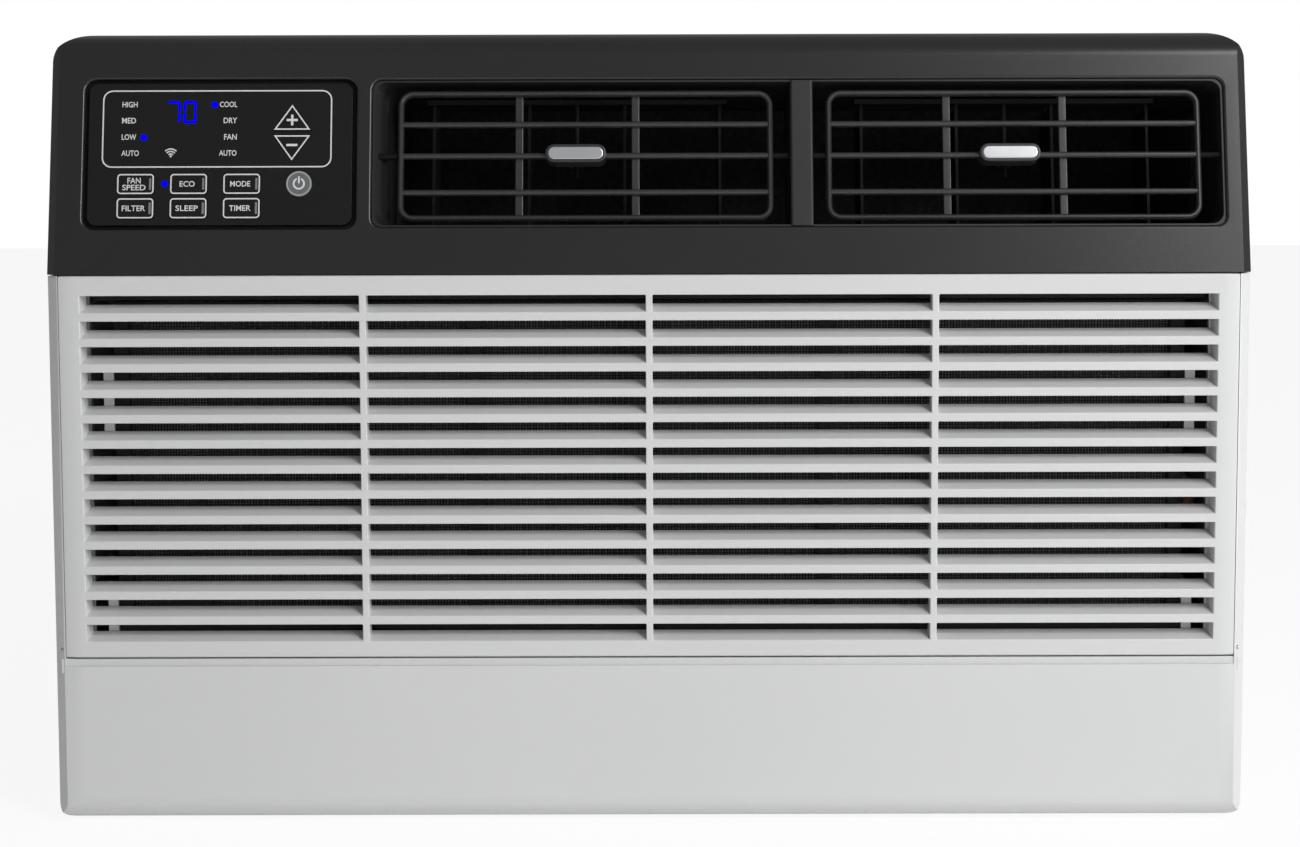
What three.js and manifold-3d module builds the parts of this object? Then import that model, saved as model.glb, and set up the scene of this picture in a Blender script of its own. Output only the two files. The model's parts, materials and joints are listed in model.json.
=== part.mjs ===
// Window air conditioner: a louvred intake door and plain chin below, a leaning fascia above with a key
// panel and two steerable air outlets, and a sheet-steel case behind with the cooling circuit inside.
// Millimetres, +Z up, front towards -Y, origin at the middle of the base.
import * as THREE from "three";
import { mergeVertices } from "three/addons/utils/BufferGeometryUtils.js";
import Module from "manifold-3d";

const wasm = await Module();
wasm.setup();

// ---- driving dimensions ----

// overall
const width = 670;
const depth = 650;
const height = 444;

// front shell: one outer form, parted at the seam into a dark fascia and a white frame
const fasciaHeight = 134;
const lean = THREE.MathUtils.degToRad(12.4);
const shellWall = 3;
const shellDepth = 95;
const shellFoot = 1.5;
const crownRound = 18;
const chinRound = 15;
const crownCornerWide = 22;
const crownCornerTall = 15.5;
const chinCorner = 9;
const edgeBevel = 5;
const seamGap = 0.7;

// intake door
const doorHeight = 214.4;
const doorThick = 13;
const doorSideGap = 0.6;
const cheekWide = 6;
const grooveHeight = 5;
const slotSideMargin = 18.4;
const slotTopMargin = 12;
const slatPitch = 14.2;
const slatFace = 4.9;
const slatRise = 4.4;
const slatDeep = 11.5;
const slotRows = Math.floor((doorHeight - slotTopMargin) / slatPitch);
const dividerWide = 3.8;
const dividers = 3;
const hingeSetback = 3;
const hingeLift = 4;
const hingePinRadius = 1.5;
const hingePinLong = 13;
const lipThick = 5;
const railThick = 10;
const railTall = 10;
const hookWide = 12;
const hookSpan = 220;
const hookReach = 6;
const hookTop = 2.2;
const hookFoot = 4.6;

// filter behind the door
const filterThick = 6;
const filterBar = 8;
const filterMargin = 29;
const filterTopMargin = 15;
const filterFootMargin = 11;
const clipWide = 5.5;
const clipLips = 5;
const upperClipTall = 40;
const upperClipDrop = 54.5;
const lowerClipTall = 31;
const lowerClipLift = 7.6;

// control panel, measured along the leaning face from the seam
const panelWide = 147.2;
const panelTall = 80.6;
const panelSideMargin = 22.2;
const panelFoot = 28.1;
const panelThick = 3.2;
const panelSunk = 1;
const panelRound = 5;
const pocketBorder = 2.3;
const pocketDeep = 1.4;
const keyWide = 20.8;
const keyTall = 11.8;
const keyRound = 2;
const keyPitchX = 29.6;
const keyPitchY = 13.8;
const keyProud = 0.4;
const keyFlange = 0.7;
const arrowWide = 22.3;
const arrowTall = 15.3;
const arrowGap = 2.2;
const powerRadius = 7.3;
const keyMarginSide = 26.75;
const keyMarginFoot = 9.55;
const arrowFromRight = 33.6;
const arrowRise = 52.5;
const powerFromRight = 29.4;
const displayWide = 23;
const displayTall = 17.5;
const displayFromLeft = 51.7;
const displayRise = 64.1;
const boardThick = 1.6;
const boardSunk = 12;

// air outlets, measured along the leaning face from the seam
const outletWide = 476;
const outletTall = 84;
const outletSideMargin = 13.5;
const outletFoot = 26.6;
const outletRound = 5.5;
const outletWall = 2;
const outletDeep = 62;
const postWide = 12.2;
const postFromRight = 236;
const louverSideRoom = 21.9;
const louverHeadRoom = 5.6;
const louverFootRoom = 4;
const louverFromPost = { left: 9.8, right: 7.4 };
const louverWire = 3.3;
const louverDeep = 6;
const louverFront = 2;
const louverPivotRadius = 2;
const louverBarsTall = [0.2, 0.496, 0.755];
const louverBarsWide = [0.324, 0.634];
const tabWide = 34;
const tabTall = 10.3;
const tabProud = 1.5;
const tabTravel = 11;
const tabRest = { left: -5.3, right: -2.4 };
const vaneSwing = THREE.MathUtils.degToRad(30);
const vaneLever = tabTravel / Math.sin(vaneSwing);
const vanePitch = 54;
const vaneCount = 4;
const vaneThick = 1.6;
const vaneTail = 14.5;
const vanePivotSunk = 46;
const pinRadius = 1.5;
const drivePinRadius = 1.25;
const forkPinRadius = 1.6;

// case and chassis
const sheet = 1.2;
const caseInset = 10;
const caseDrop = 14;
const caseStart = 63;
const caseLift = 2;
const panStart = 25;
const panRim = 28;
const rearGrilleThick = 2.6;
const coolingSlotTall = 80;
const coolingSlotWide = 7;
const coolingSlotPitch = 28;

// indoor side
const coilThick = 45;
const evaporatorDrop = 12.5;
const evaporatorAt = 35;
const coilPlate = 3;
const tubeRadius = 4;
const bendRadius = 12;
const foamWall = 4;
const coilToScroll = 9;
const scrollGap = 8;
const scrollGrow = 40;
const ductDrop = 5;
const inletLip = 18;
const blowerRadius = 98;
const blowerDeep = 104;
const wheelFrontGap = 5;
const wheelBackGap = 13;
const blowerBlades = 24;

// drive and outdoor side
const shaftX = 60;
const shaftRadius = 5;
const motorRadius = 58;
const motorLong = 100;
const fanRadius = 155;
const fanDeep = 44;
const fanAt = 425;
const fanBlades = 5;
const fanGap = 6;
const fanLift = 21.5;
const collarSetback = 20;
const condenserBack = 18;
const compressorRadius = 68;
const compressorTall = 212;
const compressorX = 110;
const compressorY = 320;
const grommetTall = 15;
const accumulatorRadius = 26;
const accumulatorTall = 150;
const accumulatorReach = 106;
const capacitorRadius = 22;
const capacitorTall = 92;

// clearances
const gap = 0.3;
const runGap = 0.3;
const slack = 1;

// ---- derived places ----

const front = -depth / 2;
const back = depth / 2;
const side = width / 2;
const seam = height - fasciaHeight;
const doorTop = seam - seamGap;
const doorFoot = doorTop - doorHeight;
const chinTop = doorFoot - grooveHeight;
const doorHalf = side - cheekWide - doorSideGap;
const slotHalf = side - slotSideMargin;
const slotTop = seam - slotTopMargin;
const hingeY = front + hingeSetback;
const hingeZ = doorFoot + hingeLift;
const tongueY = hingeY + Math.hypot(lipThick - hingeSetback, hingeLift) + 0.4;
const slatBack = front + slatDeep;
const filterFront = front + doorThick + slack;
const filterHalf = side - filterMargin - clipWide;
const panelX = panelSideMargin - side + panelWide / 2;
const panelY = panelFoot + panelTall / 2;
const outletX = side - outletSideMargin - outletWide / 2;
const outletY = outletFoot + outletTall / 2;
const postX = side - postFromRight - outletSideMargin;
const louverWide = (outletWide - postWide) / 2 - louverSideRoom;
const louverTall = outletTall - louverHeadRoom - louverFootRoom;
const tiltY = outletFoot + louverFootRoom + louverTall / 2;
const tiltSunk = louverFront + louverDeep / 2;
const panFloor = sheet;
const caseHalf = side - caseInset;
const caseTall = height - caseDrop;
const caseFront = front + caseStart;
const caseBack = back - rearGrilleThick - gap;
const panFront = front + panStart;
const panHalf = caseHalf - sheet - 1.8;
const chassisHalf = panHalf - sheet - gap;
const standing = panFloor + gap;
const scrollFront = front + evaporatorAt + coilThick + coilToScroll;
const scrollCut = blowerRadius + scrollGap;
const inletRadius = blowerRadius - inletLip;
const blowerFront = scrollFront + foamWall + wheelFrontGap;
const blowerBack = blowerFront + blowerDeep;
const scrollBack = blowerBack + wheelBackGap + foamWall;
const bulkheadY = scrollBack + 2 * slack;
const ductFoot = seam - ductDrop;
const shaftZ = standing + fanLift + fanRadius;

// ---- materials ----

const finish = (color, roughness, metalness = 0) =>
  new THREE.MeshStandardMaterial({ color, roughness, metalness });
const finishes = {
  whitePlastic: finish(0xe4e5e6, 0.45),
  darkPlastic: finish(0x3a3c40, 0.5),
  panelBlack: finish(0x202226, 0.35),
  keyBlack: finish(0x26282c, 0.4),
  displayBlue: finish(0x1420e0, 0.3),
  wireGrey: finish(0x8d9094, 0.4),
  tabSilver: finish(0xb8bcc2, 0.3, 0.7),
  vaneBlack: finish(0x17181a, 0.6),
  filterBlack: finish(0x1c1d1f, 0.8),
  casePaint: finish(0xb9bab6, 0.55),
  zinc: finish(0xa9adb0, 0.4, 0.8),
  fins: finish(0xc3c7ca, 0.35, 0.8),
  copper: finish(0xb87545, 0.3, 0.9),
  foam: finish(0xf0f0ec, 0.9),
  blackPaint: finish(0x1b1b1d, 0.5),
  rubber: finish(0x161616, 0.85),
  steel: finish(0xc9ccd0, 0.25, 0.95),
  circuit: finish(0x1f5a37, 0.5),
  fanGrey: finish(0x55585c, 0.55),
};

// ---- solids ----

// A geometry as a manifold solid, with its faces turned outwards.
function solidOf(geometry) {
  const bare = new THREE.BufferGeometry();
  bare.setAttribute("position", geometry.getAttribute("position"));
  bare.setIndex(geometry.index);
  const merged = mergeVertices(bare, 1e-4);
  const triVerts = new Uint32Array(merged.index.array);
  const vertProperties = new Float32Array(merged.getAttribute("position").array);
  const made = new wasm.Manifold(new wasm.Mesh({ numProp: 3, vertProperties, triVerts }));
  if (made.volume() > 0) return made;
  triVerts.reverse();
  return new wasm.Manifold(new wasm.Mesh({ numProp: 3, vertProperties, triVerts }));
}

function geometryOf(manifold) {
  const mesh = manifold.getMesh();
  const geometry = new THREE.BufferGeometry();
  geometry.setAttribute("position", new THREE.BufferAttribute(mesh.vertProperties, 3));
  geometry.setIndex(new THREE.BufferAttribute(mesh.triVerts, 1));
  return geometry;
}

const combine = (how) => (first, ...others) =>
  geometryOf(others.flat().reduce((sum, other) => sum[how](solidOf(other)), solidOf(first)));
const join = combine("add");
const cut = combine("subtract");
const common = combine("intersect");

// Corners are put on a fine grid, so that faces meant to lie in one plane do.
const gridStep = 1 / 512;
function onGrid(geometry) {
  const { array } = geometry.getAttribute("position");
  array.forEach((value, i) => {
    array[i] = Math.round(value / gridStep) * gridStep;
  });
  return geometry;
}

const box = (x0, x1, y0, y1, z0, z1) =>
  onGrid(
    new THREE.BoxGeometry(x1 - x0, y1 - y0, z1 - z0).translate(
      (x0 + x1) / 2,
      (y0 + y1) / 2,
      (z0 + z1) / 2,
    ),
  );

// Drawing planes: each turns a flat drawing and its extrusion into place.
const unitX = new THREE.Vector3(1, 0, 0);
const unitY = new THREE.Vector3(0, 1, 0);
const unitZ = new THREE.Vector3(0, 0, 1);
const planes = {
  xy: new THREE.Matrix4(),
  xz: new THREE.Matrix4().makeBasis(unitX, unitZ, unitY.clone().negate()),
  yz: new THREE.Matrix4().makeBasis(unitY, unitZ, unitX),
};

function prism(shape, from, to, plane = "xy", curveSegments = 3) {
  const start = plane === "xz" ? -to : from;
  const made = new THREE.ExtrudeGeometry(shape, {
    depth: to - from,
    bevelEnabled: false,
    curveSegments,
  });
  return onGrid(made.translate(0, 0, start).applyMatrix4(planes[plane]));
}

function roundedRect(x0, y0, x1, y1, r) {
  const shape = new THREE.Shape();
  shape.absarc(x1 - r, y1 - r, r, 0, Math.PI / 2);
  shape.absarc(x0 + r, y1 - r, r, Math.PI / 2, Math.PI);
  shape.absarc(x0 + r, y0 + r, r, Math.PI, 1.5 * Math.PI);
  shape.absarc(x1 - r, y0 + r, r, 1.5 * Math.PI, 2 * Math.PI);
  shape.closePath();
  return shape;
}

const centredRect = (x, y, w, h, r) => roundedRect(x - w / 2, y - h / 2, x + w / 2, y + h / 2, r);
const disc = (x, y, r) => new THREE.Shape().absarc(x, y, r, 0, 2 * Math.PI);
const polygon = (points) => new THREE.Shape(points.map(([x, y]) => new THREE.Vector2(x, y)));

// A round bar between two values of the axis named, centred on the other two coordinates.
function rod(axis, from, to, a, b, radius, sides = 8) {
  const bar = new THREE.CylinderGeometry(radius, radius, to - from, sides);
  if (axis === "x") return bar.rotateZ(Math.PI / 2).translate((from + to) / 2, a, b);
  if (axis === "y") return bar.translate(a, (from + to) / 2, b);
  return bar.rotateX(Math.PI / 2).translate(a, b, (from + to) / 2);
}

// A turned body about a vertical axis, from [radius, z] pairs that start and end on the axis.
const turned = (profile, x, y, sides = 20) =>
  new THREE.LatheGeometry(
    profile.map(([r, z]) => new THREE.Vector2(r, z)),
    sides,
  )
    .rotateX(Math.PI / 2)
    .translate(x, y, 0);

// A turned body about the shaft, from [radius, y] pairs.
const spun = (profile, sides = 28) =>
  new THREE.LatheGeometry(
    profile.map(([r, y]) => new THREE.Vector2(r, y)),
    sides,
  ).translate(shaftX, 0, shaftZ);

// A tube along a smooth line through the points.
function pipe(points, radius, steps) {
  const route = new THREE.CatmullRomCurve3(
    points.map(([x, y, z]) => new THREE.Vector3(x, y, z)),
    false,
    "centripetal",
  );
  return new THREE.ExtrudeGeometry(disc(0, 0, radius), {
    extrudePath: route,
    steps,
    curveSegments: 4,
    bevelEnabled: false,
  });
}

// ---- scene graph ----

const airConditioner = new THREE.Group();
const face = new THREE.Group();
face.position.set(0, front, seam);
face.rotation.x = Math.PI / 2 - lean;
face.updateMatrix();
airConditioner.add(face);
const onFace = (geometry) => geometry.clone().applyMatrix4(face.matrix);
const upright = new THREE.Matrix4().makeRotationX(Math.PI / 2).setPosition(0, front, 0);
const onFront = (geometry) => geometry.clone().applyMatrix4(upright);

function add(parent, name, geometry, material) {
  const facets = geometry.index ? geometry.toNonIndexed() : geometry;
  const mesh = new THREE.Mesh(facets, material);
  mesh.geometry.computeVertexNormals();
  mesh.name = name;
  parent.add(mesh);
}

// ---- front shell ----

// Side outline of the front shell, a distance inside its outer face, open to the back.
function shellSide(inset, end) {
  const crownZ = height - crownRound;
  const crownY = front + (crownZ - seam) * Math.tan(lean) + crownRound / Math.cos(lean);
  const shape = new THREE.Shape();
  shape.moveTo(end, shellFoot + inset);
  shape.lineTo(front + chinRound, shellFoot + inset);
  shape.absarc(
    front + chinRound,
    shellFoot + chinRound,
    chinRound - inset,
    -Math.PI / 2,
    -Math.PI,
    true,
  );
  shape.lineTo(front + inset, seam - inset * Math.tan(lean / 2));
  shape.absarc(crownY, crownZ, crownRound - inset, Math.PI - lean, Math.PI / 2, true);
  shape.lineTo(end, height - inset);
  return shape;
}

// Front outline of the shell, with elliptical upper corners and small lower ones.
function shellFront(inset) {
  const half = side - inset;
  const top = height - inset;
  const foot = shellFoot + inset;
  const wide = crownCornerWide - inset;
  const tall = crownCornerTall - inset;
  const small = chinCorner - inset;
  const shape = new THREE.Shape();
  shape.moveTo(half, foot + small);
  shape.absellipse(half - wide, top - tall, wide, tall, 0, Math.PI / 2);
  shape.absellipse(wide - half, top - tall, wide, tall, Math.PI / 2, Math.PI);
  shape.absarc(small - half, foot + small, small, Math.PI, 1.5 * Math.PI);
  shape.absarc(half - small, foot + small, small, 1.5 * Math.PI, 2 * Math.PI);
  return shape;
}

function shellForm(inset, end) {
  return common(
    prism(shellSide(inset, end), inset - side, side - inset, "yz", 5),
    prism(shellFront(inset), front - 1, end, "xz", 5),
  );
}

// Slanting cuts along both sides of a front face, drawn in that face's own plane.
const sideBevels = (from, to, place) =>
  [-1, 1].map((sign) => {
    const section = polygon([
      [sign * (side + slack), slack],
      [sign * (side - edgeBevel - slack), slack],
      [sign * (side + slack), -edgeBevel - slack],
    ]);
    return place(prism(section, from, to, "xz"));
  });

const shell = cut(
  shellForm(0, front + shellDepth),
  shellForm(shellWall, front + shellDepth + slack),
);

const outletShape = (inset) =>
  centredRect(
    outletX,
    outletY,
    outletWide - 2 * inset,
    outletTall - 2 * inset,
    outletRound - inset / 2,
  );
const panelShape = (grow) =>
  centredRect(panelX, panelY, panelWide + 2 * grow, panelTall + 2 * grow, panelRound + grow / 2);

function topFascia() {
  const upper = box(-side - slack, side + slack, front - slack, back, seam, height + slack);
  const windows = [
    prism(outletShape(0), -outletDeep, slack),
    prism(panelShape(gap), -boardSunk, slack),
    prism(panelShape(pocketBorder), -pocketDeep, slack),
  ];
  const bevels = sideBevels(-slack * 3, fasciaHeight * 2, onFace);
  return cut(common(shell, upper), bevels, windows.map(onFace));
}
add(airConditioner, "top_fascia", topFascia(), finishes.darkPlastic);

const bothSides = (make) => [-1, 1].map(make);
// A box whose x range is given outwards from the middle, on the side named by the sign.
const sideBox = (sign, x0, x1, y0, y1, z0, z1) =>
  sign > 0 ? box(x0, x1, y0, y1, z0, z1) : box(-x1, -x0, y0, y1, z0, z1);

function frontFrame() {
  const inner = side - shellWall + slack;
  const lower = box(-side - slack, side + slack, front - slack, back, 0, seam - seamGap);
  const openHalf = side - cheekWide;
  const openBack = front + shellWall + slack / 2;
  const opening = box(-openHalf, openHalf, front - slack, openBack, chinTop, seam);
  const tongue = box(-inner, inner, tongueY, tongueY + 2, chinTop - 4, doorFoot + 2.5);
  const ledge = box(-inner, inner, front + 1, tongueY + 1, chinTop - 3, chinTop);
  const topRail = box(-inner, inner, railFront, railFront + railThick, railFoot, railFoot + railTall);
  const lugs = bothSides((sign) =>
    sideBox(sign, openHalf, inner, front + 1, lugBack, hingeZ - lugHalf, hingeZ + lugHalf),
  );
  const pinHoles = bothSides((sign) => pinBar(sign, hingePinRadius + runGap, runGap));
  const pockets = bothSides((sign) => hook(sign, slack));
  const bevels = sideBevels(0, seam + slack, onFront);
  const panRoom = box(-inner + slack, inner - slack, panFront - 2, back, 0, panRim);
  const open = cut(common(shell, lower), opening, panRoom);
  const solidFrame = join(open, tongue, ledge, topRail, lugs);
  return cut(solidFrame, pinHoles, pockets, bevels);
}

// ---- intake door ----

const railFront = front + doorThick + 3;
const railFoot = doorTop - railTall - 0.5;
const lugHalf = 7;
const lugBack = front + 2 * hingeSetback + 2;
const pinInner = doorHalf - hingePinLong + 3;

const pinBar = (sign, radius, grow) => {
  const from = pinInner - grow;
  const to = pinInner + hingePinLong + grow;
  return rod("x", sign > 0 ? from : -to, sign > 0 ? to : -from, hingeY, hingeZ, radius, 12);
};

const hook = (sign, grow) =>
  sideBox(
    sign,
    hookSpan - hookWide / 2 - grow,
    hookSpan + hookWide / 2 + grow,
    front + doorThick - slack,
    railFront + hookReach + grow,
    doorTop - hookFoot - grow,
    doorTop - hookTop + grow,
  );

function intakeDoor() {
  const skin = box(-doorHalf, doorHalf, front, front + shellWall, doorFoot, doorTop);
  const slatBottom = slotTop - slotRows * slatPitch;
  const clearance = box(-slotHalf, slotHalf, front - slack, back, slatBottom + slack, slotTop);
  const rimBack = front + doorThick;
  const rim = 2.5;
  const topRim = box(-doorHalf, doorHalf, front + 1, rimBack, doorTop - rim, doorTop);
  const bottomLip = box(-doorHalf, doorHalf, front + 1, front + lipThick, doorFoot, slatBottom + 2);
  const sideRims = bothSides((sign) =>
    sideBox(sign, doorHalf - rim, doorHalf, front + 1, rimBack, doorFoot + 12, doorTop),
  );
  const slotEnds = bothSides((sign) =>
    sideBox(sign, slotHalf, slotHalf + rim, front + 1, slatBack + 0.5, slatBottom + 2, slotTop),
  );
  const dividerStep = (2 * slotHalf + dividerWide) / (dividers + 1);
  const posts = Array.from({ length: dividers }, (_, i) => {
    const x = (i + 1) * dividerStep - slotHalf - dividerWide / 2;
    const half = dividerWide / 2;
    return box(x - half, x + half, front, slatBack + 0.5, slatBottom + 2, slotTop + 1);
  });
  const slats = Array.from({ length: slotRows }, (_, i) => {
    const z = slotTop - (i + 1) * slatPitch;
    const section = polygon([
      [front, z],
      [slatBack, z + slatRise],
      [slatBack, z + slatRise + slatFace],
      [front, z + slatFace],
    ]);
    return prism(section, -slotHalf - slack, slotHalf + slack, "yz");
  });
  const pinHoles = bothSides((sign) => pinBar(sign, hingePinRadius + runGap, runGap));
  const hooks = bothSides((sign) => hook(sign, 0));
  const plate = cut(skin, clearance);
  return cut(
    join(plate, topRim, bottomLip, sideRims, slotEnds, posts, slats, hooks),
    pinHoles,
  );
}

add(airConditioner, "front_frame", frontFrame(), finishes.whitePlastic);
add(airConditioner, "intake_grille", intakeDoor(), finishes.whitePlastic);
bothSides((sign) => {
  const name = sign < 0 ? "left" : "right";
  const pin = pinBar(sign, hingePinRadius, 0);
  add(airConditioner, `grille_hinge_pin_${name}`, pin, finishes.steel);
});

// ---- filter ----

const filterBack = filterFront + filterThick;
const filterFoot = doorFoot + filterFootMargin;
const filterTop = doorTop - filterTopMargin;
const meshInset = filterBar - 1.5;

function filterFrame() {
  const outer = box(-filterHalf, filterHalf, filterFront, filterBack, filterFoot, filterTop);
  const cells = 3;
  const pitch = (2 * filterHalf - filterBar) / cells;
  const windows = Array.from({ length: cells }, (_, i) => {
    const x = i * pitch - filterHalf + filterBar;
    const z0 = filterFoot + filterBar;
    const z1 = filterTop - filterBar;
    return box(x, x + pitch - filterBar, filterFront - slack, filterBack + slack, z0, z1);
  });
  return cut(outer, windows, filterSheet(gap));
}

// The woven screen lies in a groove all round the frame.
function filterSheet(grow) {
  const half = filterHalf - meshInset + grow;
  const middle = (filterFront + filterBack) / 2;
  const thick = 0.6 + grow;
  const foot = filterFoot + meshInset - grow;
  const top = filterTop - meshInset + grow;
  return box(-half, half, middle - thick, middle + thick, foot, top);
}
add(airConditioner, "filter_frame", filterFrame(), finishes.filterBlack);
add(airConditioner, "filter_mesh", filterSheet(0), finishes.filterBlack);

// Clips moulded beside the slots hook round the filter's side bars.
const clipSpans = {
  upper: [seam - upperClipDrop - upperClipTall, seam - upperClipDrop],
  lower: [doorFoot + lowerClipLift, doorFoot + lowerClipLift + lowerClipTall],
};
for (const [level, [foot, top]] of Object.entries(clipSpans)) {
  for (const [name, sign] of [
    ["left", -1],
    ["right", 1],
  ]) {
    const inside = filterHalf + gap;
    const frontY = slatBack + 0.5 + gap;
    const web = sideBox(sign, inside, inside + clipWide, frontY, filterBack + 2, foot, top);
    const lip = sideBox(
      sign,
      inside - clipLips,
      inside + 1,
      filterBack + gap,
      filterBack + 2,
      foot,
      top,
    );
    add(airConditioner, `filter_clip_${level}_${name}`, join(web, lip), finishes.whitePlastic);
  }
}

// ---- control panel, drawn on the leaning face ----

const panelLeft = panelX - panelWide / 2;
const panelRight = panelX + panelWide / 2;
const keyColumn = [0, 1, 2].map((i) => panelLeft + keyMarginSide + i * keyPitchX);
const keyRow = [1, 0].map((i) => panelFoot + keyMarginFoot + i * keyPitchY);
const arrowX = panelRight - arrowFromRight;
const arrowZ = panelFoot + arrowRise;
const powerX = panelRight - powerFromRight;
const displayX = panelLeft + displayFromLeft;
const displayY = panelFoot + displayRise;

const rectKey = (column, row) => (grow) =>
  centredRect(
    keyColumn[column],
    keyRow[row],
    keyWide + 2 * grow,
    keyTall + 2 * grow,
    keyRound + grow,
  );

// A triangle pointing up or down, with its edges moved outwards by the growth.
const arrowKey = (up) => (grow) => {
  const half = arrowWide / 2;
  const slant = Math.hypot(half, arrowTall);
  const inRadius = (half * arrowTall) / (half + slant);
  const scale = (inRadius + grow) / inRadius;
  const base = arrowZ + (up * arrowGap) / 2;
  const centre = base + up * inRadius;
  return polygon(
    [
      [-half, base],
      [half, base],
      [0, base + up * arrowTall],
    ].map(([x, y]) => [arrowX + x * scale, centre + (y - centre) * scale]),
  );
};

const keys = {
  power: (grow) => disc(powerX, keyRow[0], powerRadius + grow),
  fan_speed: rectKey(0, 0),
  eco: rectKey(1, 0),
  mode: rectKey(2, 0),
  filter: rectKey(0, 1),
  sleep: rectKey(1, 1),
  timer: rectKey(2, 1),
  up: arrowKey(1),
  down: arrowKey(-1),
};

const panelBack = -panelSunk - panelThick;
const keyBack = panelBack - gap - 2;
const keySteps = (name) => (name === "power" ? 10 : 2);

function controlPanel() {
  const plate = prism(panelShape(0), panelBack, -panelSunk);
  const holes = Object.entries(keys).map(([name, shape]) =>
    prism(shape(runGap), panelBack - 1, 0, "xy", keySteps(name)),
  );
  const windowShape = centredRect(displayX, displayY, displayWide + 2 * gap, displayTall + 2 * gap, 1);
  return cut(plate, holes, prism(windowShape, panelBack - 1, 0));
}
add(face, "control_panel", controlPanel(), finishes.panelBlack);

for (const [name, shape] of Object.entries(keys)) {
  const cap = prism(shape(0), keyBack, keyProud - panelSunk, "xy", keySteps(name));
  const flange = prism(shape(keyFlange), keyBack, panelBack - gap, "xy", keySteps(name));
  add(face, `button_${name}`, join(cap, flange), finishes.keyBlack);
}

const displayBack = gap - boardSunk;
const displayShape = centredRect(displayX, displayY, displayWide, displayTall, 0.7);
add(
  face,
  "display_module",
  prism(displayShape, displayBack, -panelSunk - gap),
  finishes.displayBlue,
);

// The circuit board stands behind the keys, with a small switch under each.
function controlBoard() {
  const inset = 4;
  const board = prism(panelShape(-inset), -boardSunk - boardThick, -boardSunk);
  const centres = [
    ...keyColumn.flatMap((x) => keyRow.map((y) => [x, y])),
    [powerX, keyRow[0]],
    [arrowX, arrowZ + arrowTall / 2],
    [arrowX, arrowZ - arrowTall / 2],
  ];
  const half = 3;
  const switches = centres.map(([x, y]) =>
    box(x - half, x + half, y - half, y + half, -boardSunk - 0.5, keyBack - 1.5),
  );
  return join(board, switches);
}
add(face, "control_board", controlBoard(), finishes.circuit);

// ---- air outlets, drawn on the leaning face ----

const housingInset = gap + outletWall;
const cellTop = outletY + outletTall / 2 - housingInset;
const cellFoot = outletY - outletTall / 2 + housingInset;
const cellLeft = outletX - outletWide / 2 + housingInset;
const cellRight = outletX + outletWide / 2 - housingInset;
const vaneFoot = cellFoot + 2;
const vaneTop = cellTop - 8;
const linkFoot = vaneTop + 1;
const linkTop = linkFoot + 3;
const driveSunk = vanePivotSunk - vaneLever;

// Each outlet: the deflector's middle, where its tab rests, and its pivot ends.
const fromPost = (name) => (postWide + louverWide) / 2 + louverFromPost[name];
const outlets = {
  left: { x: postX - fromPost("left"), ends: [cellLeft, postX - 2] },
  right: { x: postX + fromPost("right"), ends: [postX + 2, cellRight] },
};
for (const [name, outlet] of Object.entries(outlets)) {
  outlet.tabX = outlet.x + tabRest[name];
  outlet.vanes = Array.from(
    { length: vaneCount },
    (_, i) => outlet.tabX + (i - (vaneCount - 1) / 2) * vanePitch,
  );
}

const vanePivot = (x, radius, z0, z1) => rod("y", z0, z1, x, -vanePivotSunk, radius);
const tiltPin = (outlet, radius, into) => {
  const [x0, x1] = outlet.ends;
  const out0 = x0 === cellLeft ? into : 0;
  const out1 = x1 === cellRight ? into : 0;
  return rod("x", x0 - out0, x1 + out1, tiltY, -tiltSunk, radius);
};

function outletHousing() {
  const shellRing = cut(
    prism(outletShape(gap), -outletDeep, -1.5),
    prism(outletShape(housingInset), -outletDeep - slack, slack),
  );
  const half = postWide / 2;
  const post = box(postX - half, postX + half, cellFoot - 1, cellTop + 1, -outletDeep, -2.5);
  const holes = Object.values(outlets).flatMap((outlet) => [
    tiltPin(outlet, louverPivotRadius + runGap, outletWall + slack),
    ...outlet.vanes.map((x) =>
      vanePivot(x, pinRadius + runGap, cellFoot - outletWall - slack, cellTop + outletWall + slack),
    ),
  ]);
  return cut(join(shellRing, post), holes);
}
add(face, "outlet_housing", outletHousing(), finishes.darkPlastic);

// The deflector is one moulded grid: a ring, three bars across and two behind them.
function louverGrid(outlet) {
  const outer = centredRect(outlet.x, tiltY, louverWide, louverTall, outletRound);
  const hole = centredRect(
    outlet.x,
    tiltY,
    louverWide - 2 * louverWire,
    louverTall - 2 * louverWire,
    outletRound - louverWire / 2,
  );
  const rearFace = -louverFront - louverDeep;
  const ring = cut(
    prism(outer, rearFace, -louverFront),
    prism(hole, rearFace - slack, slack),
  );
  const half = louverWire / 2;
  const left = outlet.x - louverWide / 2;
  const top = tiltY + louverTall / 2;
  const across = louverBarsTall.map((share) => {
    const y = top - half - share * (louverTall - louverWire);
    return box(left + 1, left + louverWide - 1, y - half, y + half, rearFace, -louverFront - 0.5);
  });
  const upwards = louverBarsWide.map((share) => {
    const x = left + half + share * (louverWide - louverWire);
    const foot = top - louverTall + 1;
    return box(x - half, x + half, foot, top - 1, rearFace - 1.5, rearFace + 2);
  });
  const pins = cut(
    tiltPin(outlet, louverPivotRadius, 1.6),
    box(left + 1, left + louverWide - 1, tiltY - 9, tiltY + 9, -30, 9),
  );
  return join(ring, across, upwards, pins);
}

const midBarY =
  tiltY + louverTall / 2 - louverWire / 2 - louverBarsTall[1] * (louverTall - louverWire);

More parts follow.
